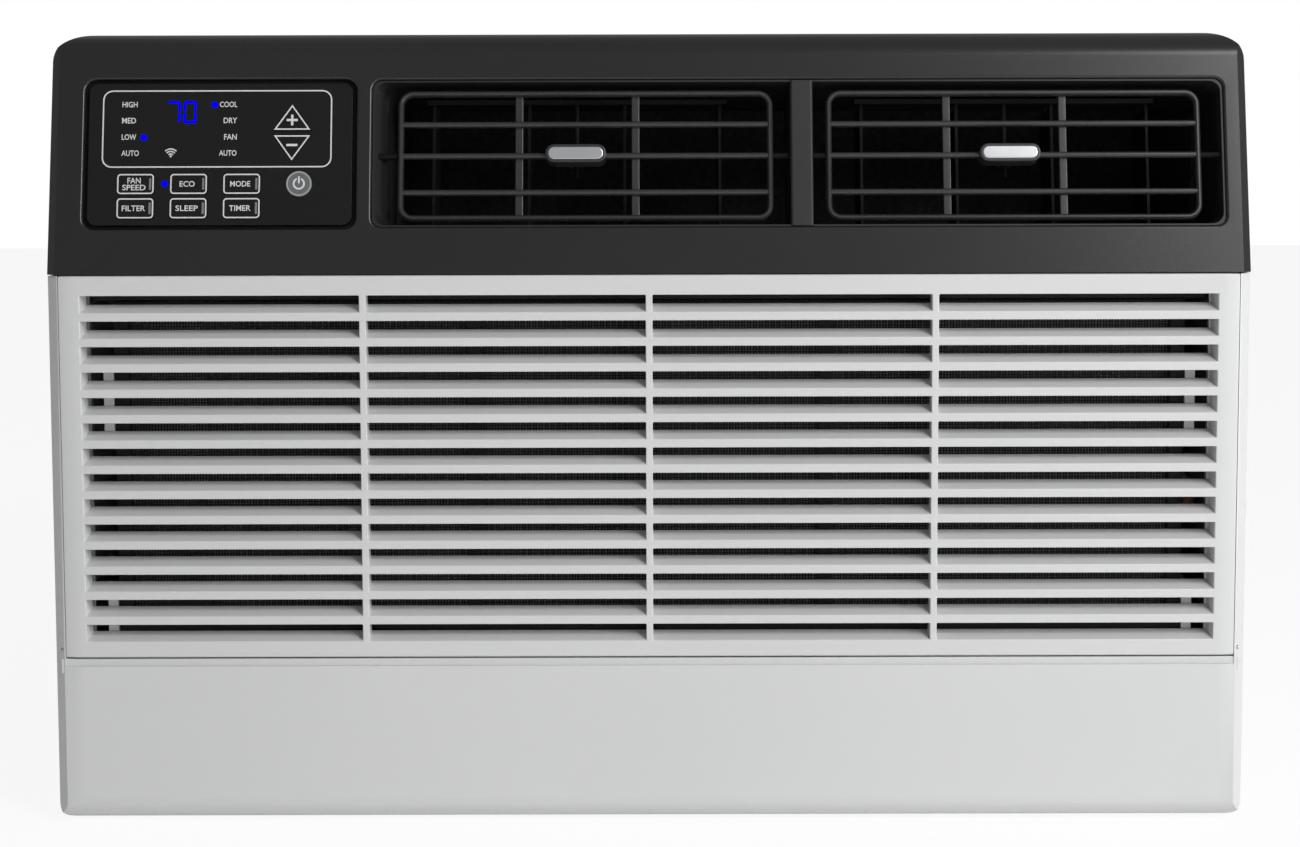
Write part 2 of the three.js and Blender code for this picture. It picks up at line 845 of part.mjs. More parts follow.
// The tab wraps the middle bar, and its fork reaches back to the link's drive pin.
function louverTab(outlet) {
  const half = tabWide / 2;
  const x = outlet.tabX;
  const tall = tabTall / 2;
  const barHalf = louverWire / 2 + runGap;
  const tabBack = -louverFront - louverDeep - 3;
  const tab = box(x - half, x + half, midBarY - tall, midBarY + tall, tabBack, tabProud);
  const channel = box(
    x - half - slack,
    x + half + slack,
    midBarY - barHalf,
    midBarY + barHalf,
    -louverFront - louverDeep - runGap,
    -louverFront - 0.5 + runGap,
  );
  const prongs = bothSides((sign) => {
    const near = forkPinRadius + 0.5;
    const x0 = Math.min(sign * near, sign * (near + 2));
    const x1 = x0 + 2;
    const reach = -driveSunk - forkPinRadius - 2;
    return box(x + x0, x + x1, midBarY - 2.2, midBarY + 2.2, reach, tabBack + 0.5);
  });
  return join(cut(tab, channel), prongs);
}

function vane(x) {
  const half = vaneThick / 2;
  const nose = drivePinRadius - driveSunk;
  const blade = box(x - half, x + half, vaneFoot, vaneTop, -vanePivotSunk - vaneTail, nose);
  const reach = outletWall - 0.4;
  const hold = 8;
  return join(
    blade,
    vanePivot(x, pinRadius, cellFoot - reach, vaneFoot + hold),
    vanePivot(x, pinRadius, vaneTop - hold, cellTop + reach),
    rod("y", vaneTop - hold, linkTop - 0.4, x, -driveSunk, drivePinRadius),
  );
}

// The link ties the vanes together: their drive pins run in slots that take up the swing.
function vaneLink(outlet) {
  const half = ((vaneCount - 1) * vanePitch) / 2 + 4;
  const x = outlet.tabX;
  const swingBack = vaneLever * (1 - Math.cos(vaneSwing));
  const reach = drivePinRadius + runGap;
  const rearFace = -driveSunk - swingBack - reach - 1.5;
  const frontFace = reach + 1.5 - driveSunk;
  const bar = box(x - half, x + half, linkFoot, linkTop, rearFace, frontFace);
  const slots = outlet.vanes.map((v) =>
    box(v - reach, v + reach, linkFoot - 1, linkTop + 1, rearFace + 1.5, frontFace - 1.5),
  );
  const drive = rod("y", midBarY - 9, linkFoot + 1, x, -driveSunk, forkPinRadius);
  return join(cut(bar, slots), drive);
}

for (const [name, outlet] of Object.entries(outlets)) {
  add(face, `louver_${name}`, louverGrid(outlet), finishes.wireGrey);
  add(face, `louver_tab_${name}`, louverTab(outlet), finishes.tabSilver);
  add(face, `vane_link_${name}`, vaneLink(outlet), finishes.vaneBlack);
  outlet.vanes.forEach((x, i) => add(face, `vane_${name}_${i + 1}`, vane(x), finishes.vaneBlack));
}

// ---- case and chassis ----

const slotRow = (count, pitch, middle) =>
  Array.from({ length: count }, (_, i) => middle + (i - (count - 1) / 2) * pitch);

function outerCase() {
  const outer = box(-caseHalf, caseHalf, caseFront, caseBack, caseLift, caseTall);
  const inner = box(
    sheet - caseHalf,
    caseHalf - sheet,
    caseFront - slack,
    caseBack + slack,
    caseLift - slack,
    caseTall - sheet,
  );
  const rearHalf = (caseBack - bulkheadY) / 2;
  const middle = bulkheadY + rearHalf;
  const count = Math.floor((rearHalf * 1.3) / coolingSlotPitch);
  const half = coolingSlotWide / 2;
  const sideSlots = slotRow(count, coolingSlotPitch, middle).flatMap((y) =>
    [0.38, 0.66].map((share) => {
      const z = caseTall * share;
      return box(-side, side, y - half, y + half, z, z + coolingSlotTall);
    }),
  );
  const topSlots = slotRow(count, coolingSlotPitch, middle).flatMap((y) =>
    [-1, 0, 1].map((i) => {
      const x = i * (coolingSlotTall + 60);
      const x1 = x + coolingSlotTall / 2;
      return box(x - coolingSlotTall / 2, x1, y - half, y + half, caseTall - 5, caseTall + 5);
    }),
  );
  return cut(outer, inner, sideSlots, topSlots);
}
add(airConditioner, "outer_case", outerCase(), finishes.casePaint);

function basePan() {
  const outer = box(-panHalf, panHalf, panFront, caseBack - slack, 0, panRim);
  const inner = box(
    sheet - panHalf,
    panHalf - sheet,
    panFront + sheet,
    caseBack - slack - sheet,
    panFloor,
    panRim + slack,
  );
  return cut(outer, inner);
}
add(airConditioner, "base_pan", basePan(), finishes.zinc);

function rearGrille() {
  const plate = box(-caseHalf, caseHalf, caseBack + gap, back, caseLift, caseTall);
  const columns = 12;
  const rows = 4;
  const rib = 6;
  const border = 22;
  const wide = (2 * (caseHalf - border) + rib) / columns;
  const tall = (caseTall - caseLift - 2 * border + rib) / rows;
  const windows = [];
  for (let i = 0; i < columns; i += 1) {
    for (let j = 0; j < rows; j += 1) {
      const x = border - caseHalf + i * wide;
      const z = caseLift + border + j * tall;
      windows.push(box(x, x + wide - rib, caseBack, back + slack, z, z + tall - rib));
    }
  }
  return cut(plate, windows);
}
add(airConditioner, "rear_grille", rearGrille(), finishes.casePaint);

const tubeWindow = { x: chassisHalf - 14, wide: 34, foot: 95, top: 165 };

function bulkhead() {
  const plate = box(
    -chassisHalf,
    chassisHalf,
    bulkheadY,
    bulkheadY + sheet,
    standing,
    caseTall - sheet - 2,
  );
  const shaftHole = rod("y", bulkheadY - slack, bulkheadY + slack * 3, shaftX, shaftZ, 20, 20);
  const { x, wide, foot, top } = tubeWindow;
  const window = box(-x, wide - x, bulkheadY - slack, bulkheadY + slack * 3, foot, top);
  return cut(plate, shaftHole, window);
}
add(airConditioner, "bulkhead", bulkhead(), finishes.zinc);

// ---- coils ----

const coilRight = chassisHalf - bendRadius - tubeRadius - coilPlate - 2;

// A fin block between two end plates, with return bends out of the right-hand one.
function coil(left, right, y0, foot, top, bends) {
  const y1 = y0 + coilThick;
  const block = box(left, right, y0, y1, foot + 3, top - 3);
  const plates = [
    box(left - coilPlate, left + 1, y0 - 2, y1 + 2, foot, top),
    box(right - 1, right + coilPlate, y0 - 2, y1 + 2, foot, top),
  ];
  const pitch = (top - foot) / (bends + 1);
  const middle = (y0 + y1) / 2;
  const loops = Array.from({ length: bends }, (_, i) => {
    const z = foot + (i + 1) * pitch;
    const start = right + coilPlate - 1;
    const points = Array.from({ length: 7 }, (__, k) => {
      const angle = (k / 6) * Math.PI - Math.PI / 2;
      const x = start + bendRadius * Math.cos(angle);
      return [x, middle, z + bendRadius * Math.sin(angle)];
    });
    return pipe(points, tubeRadius, 6);
  });
  return join(block, plates, loops);
}

const evaporatorY = front + evaporatorAt;
const evaporatorLeft = -coilRight + 50;
const evaporatorTop = seam - evaporatorDrop;
const evaporator = coil(evaporatorLeft, coilRight, evaporatorY, standing, evaporatorTop, 4);
add(airConditioner, "evaporator_coil", evaporator, finishes.fins);

const condenserY = back - condenserBack - coilThick;
const condenserLeft = -coilRight + 15;
const condenserTop = caseTall - sheet - 10;
const condenser = coil(condenserLeft, coilRight, condenserY, standing, condenserTop, 5);
add(airConditioner, "condenser_coil", condenser, finishes.fins);

// ---- blower ----

const housingBack =
  front + (outletY + outletTall / 2) * Math.sin(lean) + outletDeep * Math.cos(lean);
const ductFront = housingBack + slack;
const spiralStart = THREE.MathUtils.degToRad(110);
const spiralRadius = (angle) =>
  scrollCut + (scrollGrow * (angle - spiralStart)) / (2 * Math.PI - spiralStart);

// One foam moulding holds the blower's spiral chamber and the duct above it.
function blowerHousing() {
  const scrollLeft = shaftX - scrollCut - scrollGrow - foamWall;
  const scrollRight = shaftX + scrollCut + scrollGrow + foamWall;
  const ductTop = caseTall - sheet - slack;
  const ductLeft = outletX - outletWide / 2;
  const ductRight = Math.min(outletX + outletWide / 2, caseHalf - sheet - slack);
  const casing = box(scrollLeft, scrollRight, scrollFront, scrollBack, standing, ductFoot + 2);
  const duct = box(ductLeft, ductRight, ductFront, scrollBack, ductFoot, ductTop);
  const ductRoom = box(
    ductLeft + foamWall,
    ductRight - foamWall,
    ductFront - slack,
    scrollBack - foamWall,
    ductFoot + foamWall,
    ductTop - foamWall,
  );
  const turns = 20;
  const spiral = Array.from({ length: turns + 1 }, (_, i) => {
    const angle = spiralStart + ((2 * Math.PI - spiralStart) * i) / turns;
    const r = spiralRadius(angle);
    return [shaftX + r * Math.cos(angle), shaftZ + r * Math.sin(angle)];
  });
  const [throatLeft] = spiral[0];
  const [throatRight] = spiral[turns];
  const throatTop = ductFoot + foamWall + 1;
  const chamber = prism(
    polygon([...spiral, [throatRight, throatTop], [throatLeft, throatTop]]),
    scrollFront + foamWall,
    scrollBack - foamWall,
    "xz",
  );
  const inlet = rod("y", scrollFront - 1, scrollFront + foamWall + 1, shaftX, shaftZ, inletRadius, 28);
  const shaftHole = rod("y", scrollBack - foamWall - 1, scrollBack + 1, shaftX, shaftZ, 12, 16);
  return cut(join(casing, duct), ductRoom, chamber, inlet, shaftHole);
}
add(airConditioner, "blower_housing", blowerHousing(), finishes.foam);

function blowerWheel() {
  const hub = spun([
    [0, blowerBack - 34],
    [14, blowerBack - 34],
    [14, blowerBack - 2.5],
    [blowerRadius, blowerBack - 2.5],
    [blowerRadius, blowerBack],
    [0, blowerBack],
  ]);
  const rimProfile = [
    [blowerRadius - 5, blowerFront],
    [blowerRadius, blowerFront],
    [blowerRadius, blowerFront + 5],
    [blowerRadius - 5, blowerFront + 5],
    [blowerRadius - 5, blowerFront],
  ];
  const rim = spun(rimProfile);
  const blades = Array.from({ length: blowerBlades }, (_, i) => {
    const blade = new THREE.BoxGeometry(15, blowerDeep - 3, 2);
    return blade
      .rotateY(THREE.MathUtils.degToRad(32))
      .translate(blowerRadius - 8.5, 0, 0)
      .rotateY((i / blowerBlades) * 2 * Math.PI)
      .translate(shaftX, (blowerFront + blowerBack) / 2, shaftZ);
  });
  const bore = rod("y", blowerFront, blowerBack + 1, shaftX, shaftZ, shaftRadius + gap, 16);
  return cut(join(hub, rim, blades), bore);
}
add(airConditioner, "blower_wheel", blowerWheel(), finishes.fanGrey);

// ---- motor, shaft and outdoor fan ----

const motorY = bulkheadY + sheet + gap;
const fanY = front + fanAt;
const shroudY = fanY + collarSetback;

function fanMotor() {
  const end = motorY + motorLong;
  const body = spun([
    [0, motorY + 6],
    [motorRadius * 0.5, motorY + 6],
    [motorRadius, motorY + 18],
    [motorRadius, end - 18],
    [motorRadius * 0.5, end - 4],
    [motorRadius * 0.3, end],
    [0, end],
  ]);
  const feet = [0, 1, 2].map((i) => {
    const angle = (i / 3) * 2 * Math.PI + Math.PI / 2;
    const x = shaftX + motorRadius * 0.9 * Math.cos(angle);
    const z = shaftZ + motorRadius * 0.9 * Math.sin(angle);
    return rod("y", motorY, motorY + 40, x, z, 8);
  });
  const bore = rod("y", motorY - 1, end + 1, shaftX, shaftZ, shaftRadius + gap, 16);
  return cut(join(body, feet), bore);
}
add(airConditioner, "fan_motor", fanMotor(), finishes.blackPaint);

const shaft = rod("y", blowerBack - 36, fanY + fanDeep - 4, shaftX, shaftZ, shaftRadius, 16);
add(airConditioner, "motor_shaft", shaft, finishes.steel);

// Five blades carry a slinger ring that picks water up from the pan.
function condenserFan() {
  const end = fanY + fanDeep;
  const hub = spun([
    [0, fanY + 2],
    [28, fanY + 2],
    [32, fanY + 8],
    [32, end - 6],
    [26, end],
    [0, end],
  ]);
  const ringIn = fanRadius - 3;
  const ring = spun([
    [ringIn, fanY + 12],
    [fanRadius, fanY + 12],
    [fanRadius, fanY + 24],
    [ringIn, fanY + 24],
    [ringIn, fanY + 12],
  ], 40);
  const blades = Array.from({ length: fanBlades }, (_, i) => {
    const outline = new THREE.Shape();
    outline.moveTo(24, -17);
    outline.quadraticCurveTo(fanRadius * 0.6, -46, fanRadius - 1.5, -30);
    outline.lineTo(fanRadius - 1.5, 34);
    outline.quadraticCurveTo(fanRadius * 0.6, 30, 24, 17);
    const blade = new THREE.ExtrudeGeometry(outline, {
      depth: 2.5,
      bevelEnabled: false,
      curveSegments: 4,
    });
    return blade
      .rotateX(THREE.MathUtils.degToRad(68))
      .rotateY((i / fanBlades) * 2 * Math.PI)
      .translate(shaftX, fanY + 19, shaftZ);
  });
  const bore = rod("y", fanY, end - 3.4, shaftX, shaftZ, shaftRadius + gap, 16);
  return cut(join(hub, ring, blades), bore);
}
add(airConditioner, "condenser_fan", condenserFan(), finishes.fanGrey);

function fanShroud() {
  const orifice = fanRadius + fanGap;
  const right = coilRight + coilPlate + 1;
  const left = condenserLeft - coilPlate + 1;
  const top = caseTall - sheet - 3;
  const end = condenserY - 4;
  const wall = 1.6;
  const hood = cut(
    box(left, right, shroudY, end, standing, top),
    box(left + wall, right - wall, shroudY + wall, end + slack, standing - slack, top - wall),
    rod("y", shroudY - 1, shroudY + 3, shaftX, shaftZ, orifice, 40),
  );
  const collar = cut(
    rod("y", shroudY, shroudY + 22, shaftX, shaftZ, orifice + 2, 40),
    rod("y", shroudY - 1, shroudY + 23, shaftX, shaftZ, orifice, 40),
  );
  return join(hood, collar);
}
add(airConditioner, "fan_shroud", fanShroud(), finishes.blackPaint);

// ---- compressor and refrigerant lines ----

const compX = compressorX + 10 - side;
const compY = front + compressorY;
const compFoot = standing + grommetTall + gap;
const compTop = compFoot + compressorTall;
const lobeReach = compressorRadius + 6;
const lobes = [0, 1, 2].map((i) => {
  const angle = (i / 3) * 2 * Math.PI + Math.PI / 6;
  return [compX + lobeReach * Math.cos(angle), compY + lobeReach * Math.sin(angle)];
});

function compressor() {
  const r = compressorRadius;
  const can = turned(
    [
      [0, compFoot + 4],
      [r * 0.7, compFoot + 4],
      [r, compFoot + 24],
      [r, compTop - 26],
      [r * 0.85, compTop - 10],
      [r * 0.45, compTop],
      [0, compTop],
    ],
    compX,
    compY,
    24,
  );
  const plate = new THREE.Shape();
  lobes.forEach(([x, y], i) => {
    const angle = (i / 3) * 2 * Math.PI + Math.PI / 6;
    plate.absarc(x, y, 12, angle - Math.PI / 3, angle + Math.PI / 3);
  });
  plate.closePath();
  return join(can, prism(plate, compFoot, compFoot + 5));
}
add(airConditioner, "compressor", compressor(), finishes.blackPaint);

lobes.forEach(([x, y], i) => {
  const grommet = turned(
    [
      [0, standing],
      [10, standing],
      [10, standing + 6],
      [7.5, standing + 8],
      [10, standing + 10],
      [10, standing + grommetTall],
      [0, standing + grommetTall],
    ],
    x,
    y,
    16,
  );
  add(airConditioner, `compressor_grommet_${i + 1}`, grommet, finishes.rubber);
});

const accX = compX + accumulatorReach;
const accY = compY + 20;
const accFoot = 70;
const accTop = accFoot + accumulatorTall;

function accumulator() {
  const r = accumulatorRadius;
  const can = turned(
    [
      [0, accFoot],
      [r * 0.5, accFoot + 2],
      [r, accFoot + 16],
      [r, accTop - 16],
      [r * 0.5, accTop - 2],
      [0, accTop],
    ],
    accX,
    accY,
    16,
  );
  const reach = compressorRadius + slack;
  const inlet = pipe(
    [
      [accX, accY, accFoot + 6],
      [accX, accY, accFoot - 12],
      [accX - 14, accY - 3, accFoot - 18],
      [compX + reach, compY + 6, accFoot - 18],
    ],
    tubeRadius,
    12,
  );
  return join(can, inlet);
}
add(airConditioner, "suction_accumulator", accumulator(), finishes.blackPaint);

const lineX = -chassisHalf + 15;
const condenserMid = condenserY + coilThick / 2;
const condenserEnd = condenserLeft - coilPlate - gap;
const evaporatorMid = evaporatorY + coilThick / 2;
const evaporatorEnd = evaporatorLeft - coilPlate - gap;

const dischargeTube = pipe(
  [
    [compX, compY, compTop + gap],
    [compX, compY, compTop + 40],
    [compX, compY + 20, compTop + 70],
    [compX, compY + 60, compTop + 80],
    [lineX, compY + 110, compTop + 90],
    [lineX, condenserMid - 60, compTop + 90],
    [lineX, condenserMid - 12, compTop + 90],
    [lineX + 6, condenserMid, compTop + 90],
    [condenserEnd, condenserMid, compTop + 90],
  ],
  tubeRadius,
  26,
);
add(airConditioner, "discharge_tube", dischargeTube, finishes.copper);

const suctionX = -chassisHalf + 30;
const suctionZ = 150;
const suctionTube = pipe(
  [
    [evaporatorEnd, evaporatorMid, suctionZ],
    [evaporatorEnd - 8, evaporatorMid, suctionZ],
    [suctionX, evaporatorMid + 22, suctionZ],
    [suctionX, bulkheadY - 60, suctionZ],
    [suctionX, bulkheadY + 2, suctionZ],
    [suctionX + 1, bulkheadY + 20, suctionZ + 20],
    [suctionX + 4, bulkheadY + 20, compTop + 10],
    [suctionX + 30, bulkheadY + 22, compTop + 34],
    [compX + 30, bulkheadY + 26, compTop + 36],
    [accX - 10, accY - 30, compTop + 34],
    [accX, accY, accTop + 20],
    [accX, accY, accTop + gap],
  ],
  tubeRadius + 1,
  34,
);
add(airConditioner, "suction_tube", suctionTube, finishes.copper);

// The drier hangs on the condenser's outlet; the thin capillary leads on to the evaporator.
const drierFoot = condenserY - 62;
const drierTop = condenserY - 14;
const liquidZ = 60;
const capillaryZ = 112;

function filterDrier() {
  const can = new THREE.LatheGeometry(
    [
      [0, drierFoot],
      [4, drierFoot],
      [9, drierFoot + 8],
      [9, drierTop - 8],
      [4, drierTop],
      [0, drierTop],
    ].map(([r, y]) => new THREE.Vector2(r, y)),
    14,
  ).translate(lineX, 0, liquidZ);
  const outlet = pipe(
    [
      [lineX, drierTop - 4, liquidZ],
      [lineX, condenserMid - 14, liquidZ],
      [lineX + 4, condenserMid - 2, liquidZ],
      [condenserEnd - gap, condenserMid, liquidZ],
    ],
    tubeRadius - 1,
    10,
  );
  return join(can, outlet);
}
add(airConditioner, "filter_drier", filterDrier(), finishes.copper);

const capillary = pipe(
  [
    [lineX, drierFoot - gap, liquidZ],
    [lineX, drierFoot - 40, liquidZ],
    [lineX, compY, liquidZ + 10],
    [lineX + 3, bulkheadY + 30, capillaryZ - 6],
    [lineX + 5, bulkheadY, capillaryZ],
    [lineX + 6, evaporatorMid + 60, capillaryZ],
    [lineX + 14, evaporatorMid + 10, capillaryZ],
    [evaporatorEnd - 8, evaporatorMid, capillaryZ],
    [evaporatorEnd, evaporatorMid, capillaryZ],
  ],
  2.2,
  26,
);
add(airConditioner, "capillary_tube", capillary, finishes.copper);

// ---- electrics ----

const capacitorTop = caseTall - sheet - 12;
const capacitor = turned(
  [
    [0, capacitorTop - capacitorTall],
    [capacitorRadius, capacitorTop - capacitorTall],
    [capacitorRadius, capacitorTop - 4],
    [capacitorRadius - 4, capacitorTop],
    [0, capacitorTop],
  ],
  panelX,
  bulkheadY - gap - capacitorRadius,
);
add(airConditioner, "run_capacitor", capacitor, finishes.zinc);

export default airConditioner;
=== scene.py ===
import json
import math

import bmesh
import bpy
from mathutils import Matrix, Vector


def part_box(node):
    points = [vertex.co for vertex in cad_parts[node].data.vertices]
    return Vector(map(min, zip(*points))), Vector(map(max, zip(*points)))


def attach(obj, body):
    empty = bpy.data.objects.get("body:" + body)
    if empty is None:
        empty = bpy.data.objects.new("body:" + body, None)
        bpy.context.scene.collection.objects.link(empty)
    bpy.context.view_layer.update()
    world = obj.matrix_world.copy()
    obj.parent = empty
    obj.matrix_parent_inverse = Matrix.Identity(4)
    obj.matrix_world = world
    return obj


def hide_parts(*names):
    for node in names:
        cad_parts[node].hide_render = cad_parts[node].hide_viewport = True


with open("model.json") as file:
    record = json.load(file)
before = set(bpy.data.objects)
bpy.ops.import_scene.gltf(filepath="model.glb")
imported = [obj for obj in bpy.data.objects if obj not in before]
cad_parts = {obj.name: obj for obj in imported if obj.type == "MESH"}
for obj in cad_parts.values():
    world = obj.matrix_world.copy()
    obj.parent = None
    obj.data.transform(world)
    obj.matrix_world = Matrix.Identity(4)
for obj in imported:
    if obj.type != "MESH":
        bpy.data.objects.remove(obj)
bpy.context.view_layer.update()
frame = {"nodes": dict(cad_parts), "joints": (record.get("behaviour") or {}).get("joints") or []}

# Window air conditioner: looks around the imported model. Metres, +Z up, front towards -Y.

# places taken from the frame
joints = {joint["name"]: joint for joint in frame["joints"]}
lean = math.asin(-joints["press_power"]["axis"][2])
fasciaLow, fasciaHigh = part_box("top_fascia")
frameLow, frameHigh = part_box("front_frame")
doorLow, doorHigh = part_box("intake_grille")
front = frameLow.y
side = frameHigh.x
seam = fasciaLow.z
faceMatrix = Matrix.Translation((0, front, seam)) @ Matrix.Rotation(math.pi / 2 - lean, 4, "X")


def faceBox(node, above=-1.0):   # a node's corners along the leaning face: across, up the face, outwards
    toFace = faceMatrix.inverted()
    spots = [toFace @ v.co for v in frame["nodes"][node].data.vertices]
    spots = [p for p in spots if p.z > above]
    low = Vector([min(p[i] for p in spots) for i in range(3)])
    high = Vector([max(p[i] for p in spots) for i in range(3)])
    return low, high


# modelling steps

def clear():
    bpy.ops.object.select_all(action="DESELECT")


def only(piece):
    clear()
    piece.select_set(True)
    bpy.context.view_layer.objects.active = piece
    return piece


def named(name):
    piece = bpy.context.object
    piece.name = name
    piece.data.name = name
    return piece


def settle(piece):   # the place goes into the mesh
    only(piece)
    bpy.ops.object.transform_apply(location=True, rotation=True, scale=True)
    return piece


def fit(piece, low, high):   # scales and moves a mesh into a box
    settle(piece)
    spots = [v.co for v in piece.data.vertices]
    for axis in range(3):
        least = min(p[axis] for p in spots)
        most = max(p[axis] for p in spots)
        share = (high[axis] - low[axis]) / (most - least) if most > least else 1
        piece.scale[axis] = share
        piece.location[axis] = low[axis] - least * share
    return settle(piece)


def block(name, low, high):
    low, high = Vector(low), Vector(high)
    clear()
    bpy.ops.mesh.primitive_cube_add(size=1, location=(low + high) / 2)
    piece = named(name)
    piece.scale = high - low
    return settle(piece)


def rod(name, corners, radius, tall, spot=(0, 0, 0), turn=(0, 0, 0)):
    clear()
    bpy.ops.mesh.primitive_cylinder_add(vertices=corners, radius=radius, depth=tall,
                                        location=spot, rotation=turn)
    return settle(named(name))


def pick(piece, kind, test):   # opens the mesh and selects what passes the test
    only(piece)
    bpy.ops.object.mode_set(mode="EDIT")
    bpy.ops.mesh.select_all(action="DESELECT")
    bpy.ops.mesh.select_mode(type=kind)
    mesh = bmesh.from_edit_mesh(piece.data)
    parts = {"FACE": mesh.faces, "EDGE": mesh.edges, "VERT": mesh.verts}[kind]
    for part in parts:
        part.select_set(bool(test(part)))
    mesh.select_flush_mode()
    bmesh.update_edit_mesh(piece.data)


def done():
    bpy.ops.object.mode_set(mode="OBJECT")


def along(edge, axis):
    span = edge.verts[1].co - edge.verts[0].co
    return abs(span[axis]) > 0.98 * span.length


def middle(edge):
    return (edge.verts[0].co + edge.verts[1].co) / 2


def roundEdges(piece, test, radius, segments=4):
    pick(piece, "EDGE", test)
    bpy.ops.mesh.bevel(offset=radius, segments=segments, affect="EDGES", profile=0.5)
    done()


def trim(piece, point, normal):   # keeps what lies behind the plane
    pick(piece, "FACE", lambda face: True)
    bpy.ops.mesh.bisect(plane_co=point, plane_no=normal, use_fill=True, clear_outer=True)
    done()


def shift(piece, test, move):   # moves the points that pass the test
    pick(piece, "VERT", test)
    bpy.ops.transform.translate(value=move)
    done()


def change(piece, kind, **settings):   # adds a modifier, sets it and applies it
    only(piece)
    step = piece.modifiers.new("change", kind)
    for name, value in settings.items():
        setattr(step, name, value)
    bpy.ops.object.modifier_apply(modifier=step.name)
    return piece


def carve(piece, cutter, operation="DIFFERENCE"):
    change(piece, "BOOLEAN", object=cutter, operation=operation, solver="EXACT")
    bpy.data.objects.remove(cutter)
    return piece


def merge(first, others):
    clear()
    for piece in [first, *others]:
        piece.select_set(True)
    bpy.context.view_layer.objects.active = first
    bpy.ops.object.join()
    return first


def soften(piece, width, segments=2, angle=35):   # broad faces stay flat beside the small rounds
    turn = math.radians(angle)
    if width:
        change(piece, "BEVEL", width=width, segments=segments, limit_method="ANGLE", angle_limit=turn)
    only(piece)
    bpy.ops.object.shade_smooth_by_angle(angle=turn)
    return change(piece, "WEIGHTED_NORMAL", keep_sharp=True)


def hollow(piece, isOpen, wall):   # takes the open faces away and thickens the rest inwards
    pick(piece, "FACE", isOpen)
    bpy.ops.mesh.delete(type="FACE")
    done()
    return change(piece, "SOLIDIFY", thickness=wall, offset=-1, use_even_offset=True)


def repeat(piece, count, offset):
    return change(piece, "ARRAY", count=count, use_relative_offset=False, use_constant_offset=True,
                  constant_offset_displace=offset)


def plate(name, low, high, radius, segments=6):   # a slab with round corners, lying in x and y
    piece = block(name, low, high)
    roundEdges(piece, lambda e: along(e, 2), radius, segments)
    return piece


def outline(name, low, high, level, radius):   # a flat face with round corners, left open in edit mode
    clear()
    bpy.ops.mesh.primitive_plane_add(size=1)
    piece = named(name)
    piece.scale = (high.x - low.x, high.y - low.y, 1)
    piece.location = ((low.x + high.x) / 2, (low.y + high.y) / 2, level)
    settle(piece)
    pick(piece, "VERT", lambda v: True)
    bpy.ops.mesh.bevel(offset=radius, segments=8, affect="VERTICES")
    return piece


def ontoFace(piece):   # from flat work to the leaning face
    piece.matrix_world = faceMatrix
    return settle(piece)


def hand(piece, body, material, slot, *nodes):   # colours a piece and hands it to its body
    piece.data.materials.clear()
    piece.data.materials.append(material)
    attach(piece, body)
    if nodes:
        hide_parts(*nodes)
    return piece


# materials

class Wire:   # one socket of a material; sums on it add Math nodes
    def __init__(self, tree, socket=None):
        self.tree = tree
        self.socket = socket

    def add(self, kind, settings=(), inputs=(), output=0):
        node = self.tree.nodes.new(kind)
        for name, value in dict(settings).items():
            setattr(node, name, value)
        for name, value in dict(inputs).items():
            if isinstance(value, Wire):
                self.tree.links.new(value.socket, node.inputs[name])
            else:
                node.inputs[name].default_value = value
        return Wire(self.tree, node.outputs[output])

    def sum(self, operation, first, second):
        return self.add("ShaderNodeMath", {"operation": operation}, {0: first, 1: second})

    def __add__(self, other):
        return self.sum("ADD", self, other)

    def __radd__(self, other):
        return self.sum("ADD", other, self)

    def __sub__(self, other):
        return self.sum("SUBTRACT", self, other)

    def __rsub__(self, other):
        return self.sum("SUBTRACT", other, self)

    def __mul__(self, other):
        return self.sum("MULTIPLY", self, other)

    def __rmul__(self, other):
        return self.sum("MULTIPLY", other, self)

    def __gt__(self, other):
        return self.sum("GREATER_THAN", self, other)

    def __lt__(self, other):
        return self.sum("LESS_THAN", self, other)


def noise(start, place, scale, detail=3):
    inputs = {"Vector": place, "Scale": scale, "Detail": detail}
    return start.add("ShaderNodeTexNoise", {}, inputs)


def tint(start, share, first, second):
    first = (*first, 1) if isinstance(first, tuple) else first
    second = (*second, 1) if isinstance(second, tuple) else second
    inputs = {0: share, 6: first, 7: second}
    return start.add("ShaderNodeMix", {"data_type": "RGBA"}, inputs, 2)


def newMaterial(name):
    material = bpy.data.materials.new(name)
    material.use_nodes = True
    tree = material.node_tree
    shader = tree.nodes["Principled BSDF"]
    start = Wire(tree)
    place = start.add("ShaderNodeTexCoord", output="Object")
    return material, start, shader, place


def feed(start, shader, **values):
    names = {"color": "Base Color", "rough": "Roughness", "metal": "Metallic", "bump": "Normal",
             "alpha": "Alpha", "glow": "Emission Color"}
    for key, value in values.items():
        socket = shader.inputs[names[key]]
        if isinstance(value, Wire):
            start.tree.links.new(value.socket, socket)
        else:
            socket.default_value = value


def bumped(start, height, strength, distance):
    inputs = {"Strength": strength, "Distance": distance, "Height": height}
    return start.add("ShaderNodeBump", {}, inputs)


moulded = {"rough": 0.5, "patchy": 0.05, "bump": 0.12, "depth": 0.0001, "ior": 1.5}   # unless a look differs
inkFinish = {"grain": 3000, "cloud": 60, "bump": 0.05, "ior": 1.45}


